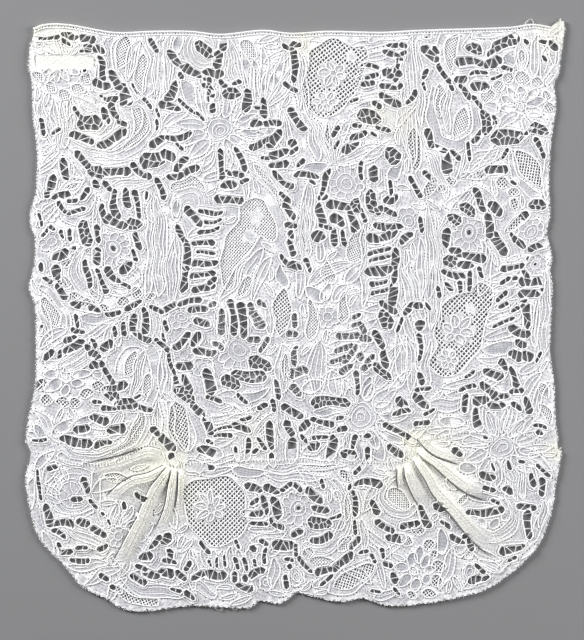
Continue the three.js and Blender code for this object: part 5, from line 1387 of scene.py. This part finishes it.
def evenly(ring, spacing=2.3):
    # closed path through the ring at an even spacing
    closed = np.vstack([ring, ring[:1]])
    lengths = np.concatenate([[0], np.cumsum(np.hypot(*np.diff(closed, axis=0).T))])
    at = np.linspace(0, lengths[-1], max(6, int(lengths[-1] / spacing)) + 1)
    return np.column_stack([np.interp(at, lengths, closed[:, k]) for k in (0, 1)])


def layCords(paths, holes, radius, shapes=None, margin=None):
    # each path lies on the lace and stops where the ground is open
    sizes = [len(path) for path, scale in paths]
    points = np.vstack([path for path, scale in paths])
    keep = ~inAnyHole(points, holes)
    if shapes is not None:
        keep &= ~inAnyHole(points, shapes)
    keep &= insidePolygon(points, panelRing) | insidePolygon(points, borderRing)
    keep &= ~onFold(points)
    height = topHeight(points) + radius * 0.35
    cream = creamOf(points)
    places = np.column_stack([toMetres(points), height])
    lines, first = [], 0
    for size, (path, scale) in zip(sizes, paths):
        for run in splitRuns(keep[first:first + size]):
            picked = first + np.array(run)
            lines.append([places[picked], scale, cream[picked]])
        first += size
    return lines


tapeOpening = smoothPath(tapeWindow, 3.0, closed=True)
filler = {"step": 1.5, "lengths": [24, 18, 14], "breadth": 5.0, "tries": 9000}


def fillGaps():
    # slim leaves wherever the cloth between the motifs is still plain
    columns, rows = np.meshgrid(np.arange(24, 568, filler["step"]), np.arange(20, 614, filler["step"]))
    spots = np.column_stack([columns.ravel(), rows.ravel()])
    free = insidePolygon(spots, panelRing) | insidePolygon(spots, borderRing)
    free &= ~inAnyHole(spots, [m["ring"] for m in motifs if m["outline"]] + [tapeOpening])
    free &= ~inAnyHole(spots, [swayedRun(run, 3.0) for run in wideRuns + narrowRuns])
    free &= ~onFold(spots)
    for column, row, radius, first, last in turns:
        if radius < 15:
            free &= np.hypot(*(spots - [column, row]).T) > radius
    free = free.reshape(columns.shape)

    def places(points):
        points = np.asarray(points)
        return (((points[:, 1] - 20) / filler["step"]).round().astype(int).clip(0, free.shape[0] - 1),
                ((points[:, 0] - 24) / filler["step"]).round().astype(int).clip(0, free.shape[1] - 1))

    made = 0
    for number in draws.permutation(np.flatnonzero(free.ravel()))[:filler["tries"]]:
        if not free.flat[number]:
            continue
        spot = spots[number]
        centre = grainCentres[np.hypot(*(grainCentres - spot).T).argmin()]
        turn = math.atan2(*(spot - centre)[::-1]) + draws.normal(0, 0.35)
        way = np.array([math.cos(turn), math.sin(turn)])
        for length in filler["lengths"]:
            start, end = spot - way * length / 2, spot + way * length / 2
            path = bowed(*start, *end, draws.uniform(-2, 2), 12)
            t = np.linspace(0, 1, 12)
            half = filler["breadth"] * (0.6 + length / 50) / 2
            ring = banded(path, half * np.sin(np.pi * t ** 0.85) ** 0.7 + 0.15)
            wider = banded(path, half * np.sin(np.pi * t ** 0.85) ** 0.7 + 0.6)
            if not free[places(np.vstack([wider, path]))].all():
                continue
            lines = [path[2:10]] if length > 10 else []
            motifs.append({"ring": ring, "path": path, "tone": draws.uniform(0.1, 0.9), "net": None,
                           "outline": 1.0, "lines": lines})
            for share in (0, 0.35, 0.7, 1.0):
                for side in (-1, 1):
                    free[places(banded(path, share * half * side + np.zeros(12)))] = False
            made += 1
            break
    return made


print("filling leaves:", fillGaps())
openCells = panelCells + borderCells + pierced + [tapeOpening]
netRegions = [m for m in motifs if m["net"]]
netRings = [m["ring"] for m in netRegions]
toileRegions = [m for m in motifs if not m["net"]]


def clearOf(cells, rings):
    # cells that don't lie in a net
    middles = np.array([cell.mean(0) for cell in cells])
    hit = inAnyHole(middles, rings)
    return [cell for cell, inNet in zip(cells, hit) if not inNet]


panelCells = clearOf(panelCells, netRings + [tapeOpening])
borderCells = clearOf(borderCells, netRings)
borderCells = [cell for cell, folded in zip(
    borderCells, onFold(np.array([cell.mean(0) for cell in borderCells]))) if not folded]


# pin holes beside the outlines

pinRow = {"spacing": 3.1, "away": 1.35, "least": 0.55, "most": 0.8, "mostHoles": 3600}


def pinRows():
    # small holes left by the pins along the outside of each motif
    rings = [m for m in motifs if m["outline"] and len(m["ring"]) > 8 and not m["net"]]
    places = []
    for motif in rings:
        path = evenly(motif["ring"], pinRow["spacing"])[:-1]
        step = np.roll(path, -1, axis=0) - np.roll(path, 1, axis=0)
        step /= np.maximum(np.hypot(*step.T), 1e-6)[:, None]
        across = np.column_stack([step[:, 1], -step[:, 0]])
        x, y = path.T
        turnedOut = 1 if x @ np.roll(y, -1) > y @ np.roll(x, -1) else -1
        places.append(path + across * turnedOut * pinRow["away"])
    places = np.vstack(places)
    draws.shuffle(places)
    shapes = [swayedRun(run, 1.6) for run in wideRuns + narrowRuns]
    near = inAnyHole(places, shapes) | inAnyHole(places, netRings) | inAnyHole(places, [tapeOpening])
    places = places[~near & ~onFold(places)]
    taken, kept = {}, []
    for place in places:
        key = (int(place[0] // 2.5), int(place[1] // 2.5))
        others = [p for i in (-1, 0, 1) for j in (-1, 0, 1) for p in taken.get((key[0] + i, key[1] + j), [])]
        if all(math.dist(place, other) > 2.5 for other in others):
            taken.setdefault(key, []).append(place)
            kept.append(place)
    kept = np.array(kept[:pinRow["mostHoles"]])
    turn = draws.uniform(0, 1.5, len(kept))
    size = draws.uniform(pinRow["least"], pinRow["most"], len(kept))
    holes = [place + r * np.array([[math.cos(t + k), math.sin(t + k)] for k in np.arange(4) * math.pi / 2])
             for place, r, t in zip(kept, size, turn)]
    inside = []
    for ring in (panelRing, borderRing):
        finer = np.vstack([ring, (ring + np.roll(ring, -1, axis=0)) / 2])
        held = insidePolygon(kept, ring)
        gap = np.array([np.hypot(*(finer - place).T).min() for place in kept])
        inside.append([hole for hole, ok in zip(holes, held & (gap > 3.2)) if ok])
    return inside


panelPins, borderPins = pinRows()
print("pin holes:", len(panelPins), len(borderPins))


def heldBy(rings, outline):
    return [ring for ring in rings if insidePolygon(ring, outline).mean() > 0.85]


panel, panelArea = clothObject(
    "lace_panel", panelCut, panelCells + heldBy(pierced, panelRing) + [tapeOpening] + panelPins,
    heldBy(netRings, panelRing), 6.0,
    toile, regions=toileRegions, solid=heldBy(islands, panelRing))
border, borderArea = clothObject(
    "lace_border", borderCut, borderCells + heldBy(pierced, borderRing) + borderPins,
    heldBy(netRings, borderRing), 4.2,
    toile, border=True, regions=toileRegions, solid=heldBy(islands, borderRing))

openCells = panelCells + borderCells + pierced + [tapeOpening]
allRuns = wideRuns + narrowRuns
runShapes = [swayedRun(run, 0) for run in allRuns]
cordonnet = {"radius": 0.00042, "vein": 0.00028, "sides": 4}
groundPaths = [[swayedRun(run, 0.8), 1.0] for run in allRuns]
groundLines = layCords(groundPaths, openCells, cordonnet["radius"], shapes=runShapes)
groundCord = cordObject("ground_cordonnet", groundLines, cordonnet["radius"], thread, cordonnet["sides"])
motifPaths = [[evenly(m["ring"]), m["outline"]] for m in motifs if m["outline"]]
veinPaths = [[smoothPath(line, 2.3), 1.0] for m in motifs for line in m["lines"]]
contourShapes = [swayedRun(run, 3.2) for run in allRuns]
contourPaths = [[swayedRun(run, 3.25), 1.0] for run in allRuns]
contourLines = layCords(contourPaths, openCells, cordonnet["vein"], shapes=contourShapes)
cordObject("motif_contours", contourLines, cordonnet["vein"], thread, 3)
motifLines = layCords(motifPaths, openCells, cordonnet["radius"], shapes=runShapes) if motifPaths else []
veinLines = layCords(veinPaths, openCells, cordonnet["vein"], shapes=runShapes) if veinPaths else []
if motifLines:
    motifCord = cordObject("motif_cordonnet", motifLines, cordonnet["radius"], thread, cordonnet["sides"])
if veinLines:
    veinCord = cordObject("motif_veins", veinLines, cordonnet["vein"], thread, 4)


# Dark cords along the foot of each fold's edge are painted shadow, standing for the shade the fold casts; the
# white thread cords along each pleat are its creases.
shadowsAndCreases = {"radius": 0.00036, "aside": 1.3, "lift": 0.00035, "lines": [0.2, 0.42, 0.66]}
foldShadowLines, pleatLines = [], []
for fold, path in zip(folds, foldPaths):
    fine = smoothPath(path, 2.0)
    step = np.gradient(fine, axis=0)
    across = np.column_stack([-step[:, 1], step[:, 0]]) / np.hypot(*step.T)[:, None]
    t = np.linspace(0, 1, len(fine))
    points = fine - across * -shadowsAndCreases["aside"]
    reach = 0.35 + np.sin(np.pi * np.clip(t * 1.05, 0, 1)) ** 0.6
    foldShadowLines.append([np.column_stack([toMetres(points), topHeight(points) + shadowsAndCreases["lift"]]), reach, 0.3])
    for share in shadowsAndCreases["lines"]:
        breadth = fold[3] + (fold[4] - fold[3]) * t
        points = (fine - across * (share * breadth)[:, None])[2:int(len(fine) * 0.85)]
        pleatLines.append([np.column_stack([toMetres(points), topHeight(points) + 0.00007]),
                           0.5 - 0.3 * t[2:int(len(fine) * 0.85)], 0.9])
cordObject("pleat_shadows", foldShadowLines, shadowsAndCreases["radius"], shadowThread, 4)
cordObject("pleat_creases", pleatLines, shadowsAndCreases["radius"], thread, 4)


# nets

def lattice(ring, pitch, turn, radius, lift, stretch=0.7, waviness=0.00011):
    # two crossing sets of threads over a ring, each thread over and under by turns
    lines = []
    low = ring.mean(0)
    for which in (0, 1):
        angle = turn + math.pi / 4 + which * math.pi / 2
        way = np.array([math.cos(angle), math.sin(angle)])
        across = np.array([-math.sin(angle), math.cos(angle)])
        offsets = (ring - low) @ across
        for number in range(math.ceil(offsets.min() / pitch), math.floor(offsets.max() / pitch) + 1):
            level = number * pitch
            nextOffsets = np.roll(offsets, -1)
            crossing = (offsets > level) != (nextOffsets > level)
            if crossing.sum() < 2:
                continue
            share = (level - offsets[crossing]) / (nextOffsets[crossing] - offsets[crossing])
            ends = ring[crossing] + (np.roll(ring, -1, axis=0)[crossing] - ring[crossing]) * share[:, None]
            at = np.sort((ends - low) @ way)
            for begin, finish in zip(at[0::2], at[1::2]):
                if finish - begin < 0.8:
                    continue
                begin, finish = begin - stretch, finish + stretch
                knots = np.arange(math.ceil(begin / pitch), math.floor(finish / pitch) + 1)
                ups = np.concatenate([[0], np.where((knots + number + which) % 2, 1, -1), [0]])
                steps = np.concatenate([[begin], knots * pitch, [finish]])
                sway = 0.06 * pitch * np.sin(steps * 1.7 + number * 2.1 + which)
                points = low + way * steps[:, None] + across * (level + sway)[:, None]
                lines.append([points, ups * waviness + lift])
    return lines


netLook = {"fine": 0.00040, "trellis": 0.00046}
netLines = []
for motif in netRegions:
    step = motif["path"][-1] - motif["path"][0]
    turn = math.atan2(step[1], step[0])
    radius = netLook["fine"] if motif["net"] < 3 else netLook["trellis"]
    for points, ups in lattice(motif["ring"], motif["net"], turn, radius, 0.0):
        if (insidePolygon(points, panelRing) | insidePolygon(points, borderRing)).mean() < 0.99:
            continue
        base = topHeight(points) - drape["wall"] * 0.45
        netLines.append([np.column_stack([toMetres(points), base + ups]), radius / 0.0004, creamOf(points)])
if netLines:
    nets = cordObject("lace_nets", netLines, 0.0004, thread, 4)


# footing along the heading

pinHoles = []
pins = smoothPath(headingPath, footing["pinPitch"])
for i, (column, row) in enumerate(pins[1:-1]):
    size = 0.62 + 0.12 * math.sin(i * 1.7)
    pinHoles.append(circle(column, row + footing["pinDrop"] + 0.15 * math.sin(i * 2.9), size, 6))


def footingHeight(points):
    return restHeight(points) * 0.8


foot, _ = clothObject("footing_band", footingRing, pinHoles, [], 3.0, toile, wall=0.0011,
                             height=footingHeight)


def footingCord(drop, scale):
    points = headingPath + [0, drop]
    z = footingHeight(points) + 0.0011
    return [np.column_stack([toMetres(points), z]), scale, creamOf(points)]


whips = []
for i, (column, row) in enumerate(smoothPath(headingPath, footing["stitchPitch"])):
    points = np.array([[column - 0.5, row - 0.15], [column + 0.1, row + 0.9], [column + 0.9, row + 1.9]])
    z = footingHeight(points) + np.array([0.0007, 0.00175, 0.0012])
    whips.append([np.column_stack([toMetres(points), z]), 0.55, creamOf(points)])
footLines = [footingCord(0.75, 1.0), footingCord(footing["depth"] - 0.3, 0.7)] + whips
footCord = cordObject("footing_cords", footLines, footing["cordRadius"], thread, 6)


# label tape behind the corner

weft = {"pitch": 1.4, "wall": 0.0006, "lift": 0.00005, "rise": 0.0010}
tapeRows = int((tape["bottom"] - tape["top"]) / 1.1)
tapeColumns = int((tape["right"] - tape["left"]) / 1.3)


def tapeEnd(side, t):
    fray = 1.4 * math.sin(t * 23 + side * 2) + 0.8 * math.sin(t * 51)
    return fray + (1.6 * abs(t - 0.5) if side else -2.2 * t)


tapeVerts, tapeFaces = [], []
for layer in (0, 1):
    for j in range(tapeRows + 1):
        t = j / tapeRows
        left = tape["left"] + 1.5 + tapeEnd(0, t)
        right = tape["right"] - 1.5 + tapeEnd(1, t)
        for i in range(tapeColumns + 1):
            s = i / tapeColumns
            column = left + (right - left) * s
            row = (tape["top"] + (tape["bottom"] - tape["top"]) * t + 0.5 * math.sin(s * 5 + 0.5)
                   + 1.6 * (s - 0.5))
            x, y = toMetres([[column, row]])[0]
            inset = min(column - 33.5, 97 - column, (row - 53) * 1.4, (70.5 - row) * 1.4)
            rise = weft["rise"] * float(smoothStep(inset / 3.5))
            z = (weft["lift"] + rise + layer * weft["wall"]
                 + 0.00006 * math.sin(column * 0.9) * math.sin(row * 1.3) * layer)
            tapeVerts.append((x, y, z))
wide, tall = tapeColumns + 1, tapeRows + 1
top = wide * tall
for j in range(tapeRows):
    for i in range(tapeColumns):
        a = j * wide + i
        tapeFaces.append((a, a + 1, a + 1 + wide, a + wide))
        tapeFaces.append((top + a, top + a + wide, top + a + 1 + wide, top + a + 1))
for i in range(tapeColumns):
    last = tapeRows * wide + i
    tapeFaces.append((i, top + i, top + i + 1, i + 1))
    tapeFaces.append((last, last + 1, top + last + 1, top + last))
for j in range(tapeRows):
    a, b = j * wide, j * wide + tapeColumns
    tapeFaces.append((a, a + wide, top + a + wide, top + a))
    tapeFaces.append((b, top + b, top + b + wide, b + wide))
tapeMesh = bpy.data.meshes.new("label_tape_cloth")
tapeMesh.from_pydata(tapeVerts, [], tapeFaces)
tapeMesh.materials.append(tapeCloth)
labelTape = piece("label_tape_cloth", tapeMesh)
frays = []
for side in (0, 1):
    for k in range(16):
        t = (k + random.random()) / 16
        edge = (tape["left"] + 1.5 + tapeEnd(0, t)) if side == 0 else (tape["right"] - 1.5 + tapeEnd(1, t))
        row = tape["top"] + (tape["bottom"] - tape["top"]) * t + (-0.8 if side == 0 else 0.8)
        way = -1 if side == 0 else 1
        reach = random.uniform(1.0, 3.6 if side == 0 else 2.4)
        points = np.array([[edge - way * 1.5, row],
                           [edge + way * reach * 0.5, row + random.uniform(-0.5, 0.5)],
                           [edge + way * reach, row + random.uniform(-1.2, 1.2)]])
        frays.append([np.column_stack([toMetres(points), np.full(3, 0.0004)]), 0.5, 0.35])
tapeFray = cordObject("label_tape_fray", frays, 0.0003, tapeCloth, 4)


# mending net behind the middle

mending = {"pitch": 1.55, "radius": 0.00022, "height": 0.00045}
bareGround = [
    [[229, 303], [248, 302], [249, 322], [246, 335], [231, 334]],
    [[248, 352], [262, 356], [270, 364], [266, 375], [252, 371]],
]
mendLines = []
for points, ups in lattice(np.array(netPatch, float), mending["pitch"], math.pi / 4 + 0.06,
                           mending["radius"], mending["height"], stretch=0, waviness=0.00005):
    bare = inAnyHole(points, [np.array(ring, float) for ring in bareGround])
    for run in splitRuns(~bare):
        part = points[run]
        mendLines.append([np.column_stack([toMetres(part), ups[run]]), 1.0, 0.0])
mendNet = cordObject("mending_net_threads", mendLines, mending["radius"], greyThread, 3)


# picots and loose ends

def loopTree():
    tree = bpy.data.node_groups.new("picots", "GeometryNodeTree")
    tree.interface.new_socket("Geometry", in_out="INPUT", socket_type="NodeSocketGeometry")
    for label, kind, value in (("Loop", "NodeSocketFloat", 0.0006), ("Thread", "NodeSocketFloat", 0.00018),
                               ("Seed", "NodeSocketInt", 5), ("Material", "NodeSocketMaterial", None)):
        socket = tree.interface.new_socket(label, in_out="INPUT", socket_type=kind)
        if value is not None:
            socket.default_value = value
    tree.interface.new_socket("Geometry", in_out="OUTPUT", socket_type="NodeSocketGeometry")
    start, end = tree.nodes.new("NodeGroupInput"), tree.nodes.new("NodeGroupOutput")
    loop = addNode(tree, "GeometryNodeCurvePrimitiveCircle", Resolution=8, Radius=start.outputs["Loop"])
    section = addNode(tree, "GeometryNodeCurvePrimitiveCircle", Resolution=4, Radius=start.outputs["Thread"])
    tube = addNode(tree, "GeometryNodeCurveToMesh", Curve=loop.outputs["Curve"],
                   ProfileCurve=section.outputs["Curve"])
    turn = addNode(tree, "FunctionNodeRandomValue", {"data_type": "FLOAT_VECTOR"}, Seed=start.outputs["Seed"])
    turn.inputs[0].default_value, turn.inputs[1].default_value = (-0.35, -0.35, 0), (0.35, 0.35, 6.28)
    size = addNode(tree, "FunctionNodeRandomValue", {"data_type": "FLOAT_VECTOR"}, Seed=start.outputs["Seed"])
    size.inputs[0].default_value, size.inputs[1].default_value = (0.6, 0.6, 0.9), (1.25, 1.1, 1.1)
    spread = addNode(tree, "GeometryNodeInstanceOnPoints", Points=start.outputs["Geometry"],
                     Instance=tube.outputs[0], Rotation=turn.outputs[0], Scale=size.outputs[0])
    real = addNode(tree, "GeometryNodeRealizeInstances", Geometry=spread.outputs[0])
    smooth = addNode(tree, "GeometryNodeSetShadeSmooth", Geometry=real.outputs[0])
    paint = addNode(tree, "GeometryNodeSetMaterial", Geometry=smooth.outputs[0],
                    Material=start.outputs["Material"])
    tree.links.new(paint.outputs[0], end.inputs[0])
    return tree


picotTree = loopTree()
picot = {"pitch": 3.4, "loop": 0.00074, "thread": 0.00027}


def picotObject(name, path, seed):
    points = smoothPath(path, picot["pitch"])
    points = points + draws.uniform(-0.35, 0.35, points.shape)
    z = topHeight(points) - 0.0003
    mesh = bpy.data.meshes.new(name)
    mesh.from_pydata(np.column_stack([toMetres(points), z]).tolist(), [], [])
    data = mesh.attributes.new("cream", "FLOAT", "POINT")
    data.data.foreach_set("value", creamOf(points).astype(np.float32))
    obj = piece(name, mesh)
    return applyNodes(obj, picotTree, {"Loop": picot["loop"], "Thread": picot["thread"], "Seed": seed,
                                       "Material": thread})


picotObject("picots_right", rightEdge, 3)
picotObject("picots_left", leftEdge, 4)
picotObject("picots_hem", hem, 5)

tufts = {"hem": 700, "tuft": 26}
hairs = []
edgePaths = [smoothPath(rightEdge, 1.2), smoothPath(leftEdge, 1.2),
             smoothPath(hem, 1.2)]
edgePoints = np.vstack(edgePaths)
centre = np.array([293, 320])
for k in range(tufts["hem"]):
    start = edgePoints[random.randrange(len(edgePoints))]
    outward = (start - centre) / np.hypot(*(start - centre))
    turn = random.gauss(0, 0.9)
    way = np.array([outward[0] * math.cos(turn) - outward[1] * math.sin(turn),
                    outward[0] * math.sin(turn) + outward[1] * math.cos(turn)])
    reach = random.uniform(0.8, 2.6)
    side = np.array([-way[1], way[0]]) * random.uniform(-0.6, 0.6)
    points = np.array([start - way * 1.5, start + way * reach * 0.5 + side, start + way * reach])
    z = topHeight(points[:1])[0] - random.uniform(0.0001, 0.0006)
    hairs.append([np.column_stack([toMetres(points), [z, z + 0.0002, max(0.0003, z - 0.0003)]]),
                  random.uniform(0.35, 0.8), creamOf(points)])
for k in range(tufts["tuft"]):      # frayed tuft at the top right corner
    points = np.array([[random.uniform(552, 557), random.uniform(24, 40)],
                       [random.uniform(556, 560), random.uniform(20, 40)],
                       [random.uniform(559, 564.5), random.uniform(18, 42)]])
    hairs.append([np.column_stack([toMetres(points), [0.0012, 0.0016, 0.0006]]), 0.9, 0.85])
for k in range(16):                  # and where the border's seam ends
    points = np.array([[random.uniform(548, 552), random.uniform(446, 454)],
                       [random.uniform(552, 557), random.uniform(445, 456)],
                       [random.uniform(556, 562), random.uniform(444, 457)]])
    hairs.append([np.column_stack([toMetres(points), [0.0012, 0.0016, 0.0006]]), 0.9, 0.9])
for points in ([[524, 27], [526, 22], [531, 19], [534, 23]], [[214, 604], [216, 609], [221, 610], [224, 605]],
               [[231, 606], [234, 610], [239, 608]], [[243, 604], [247, 609], [252, 606]]):
    points = smoothPath(points, 1.5)
    z = np.linspace(0.0013, 0.0007, len(points))
    hairs.append([np.column_stack([toMetres(points), z]), 1.2, 0.2])
cordObject("loose_threads", hairs, 0.0002, thread, 3)


# seam between panel and border

whipSeam = []
for i, (column, row) in enumerate(smoothPath(seamPath, 3.1)[1:-1]):
    lean = 0.7 * math.sin(i * 1.9)
    points = np.array([[column - 0.8 + lean, row - 2.1], [column, row], [column + 0.8 - lean, row + 2.1]])
    z = topHeight(points).max() + np.array([-0.0001, 0.00035, -0.0001])
    whipSeam.append([np.column_stack([toMetres(points), z]), 0.8 + 0.2 * math.sin(i * 5.1), creamOf(points)])
seam = cordObject("border_seam_stitches", whipSeam, 0.0003, thread, 4)


# the table, light and view

floorMesh = bpy.data.meshes.new("table_top")
floorMesh.from_pydata([(-2, -2, 0), (2, -2, 0), (2, 2, 0), (-2, 2, 0)], [], [(0, 1, 2, 3)])
floorMaterial = bpy.data.materials.new("table_paint")
floorMaterial.use_nodes = True
floorTree = floorMaterial.node_tree
floorShader = floorTree.nodes["Principled BSDF"]
floorNoise = addNode(floorTree, "ShaderNodeTexNoise", Scale=3.0, Detail=3.0,
                     Vector=floorTree.nodes.new("ShaderNodeTexCoord").outputs["Object"])
floorColour = mixColour(floorTree, floorNoise.outputs["Fac"], (0.29, 0.29, 0.295), (0.31, 0.31, 0.315))
floorTree.links.new(floorColour, floorShader.inputs["Base Color"])
floorShader.inputs["Roughness"].default_value = 0.9
floorMesh.materials.append(floorMaterial)
table = bpy.data.objects.new("table_top", floorMesh)
bpy.context.scene.collection.objects.link(table)


def areaLight(name, place, size, energy, colour=(1, 1, 1)):
    light = bpy.data.lights.new(name, "AREA")
    light.shape, light.size, light.size_y = "RECTANGLE", size[0], size[1]
    light.energy, light.color = energy, colour
    obj = bpy.data.objects.new(name, light)
    obj.location = place
    obj.rotation_euler = (Vector((0, 0, 0)) - Vector(place)).to_track_quat("-Z", "Y").to_euler()
    bpy.context.scene.collection.objects.link(obj)


areaLight("window", (-2.1, 1.25, 0.88), (0.85, 0.85), 91)
areaLight("far_window", (2.1, 0.4, 0.82), (0.9, 0.9), 49)
areaLight("overhead", (0.1, 0.0, 1.5), (1.3, 1.3), 3.1)
world = bpy.data.worlds.new("studio")
world.use_nodes = True
world.node_tree.nodes["Background"].inputs[0].default_value = (0.95, 0.965, 1.0, 1)
world.node_tree.nodes["Background"].inputs[1].default_value = 0.1
bpy.context.scene.world = world
bpy.context.scene.view_settings.view_transform = "Standard"
bpy.context.scene.view_settings.gamma = 0.84
bpy.context.scene.view_settings.exposure = 0.12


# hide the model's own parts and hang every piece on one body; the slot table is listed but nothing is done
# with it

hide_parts("upper_panel")
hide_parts("lower_border")
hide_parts("heading_footing")
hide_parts("label_tape")
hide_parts("mending_net")
slots = {
    "lace": [panel, groundCord, footCord], "border_lace": [border, seam], "footing": [foot],
    "tape": [labelTape, tapeFray], "net": [mendNet],
}
for slot, members in slots.items():
    for obj in members:
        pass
for obj in pieces:
    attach(obj, "root")
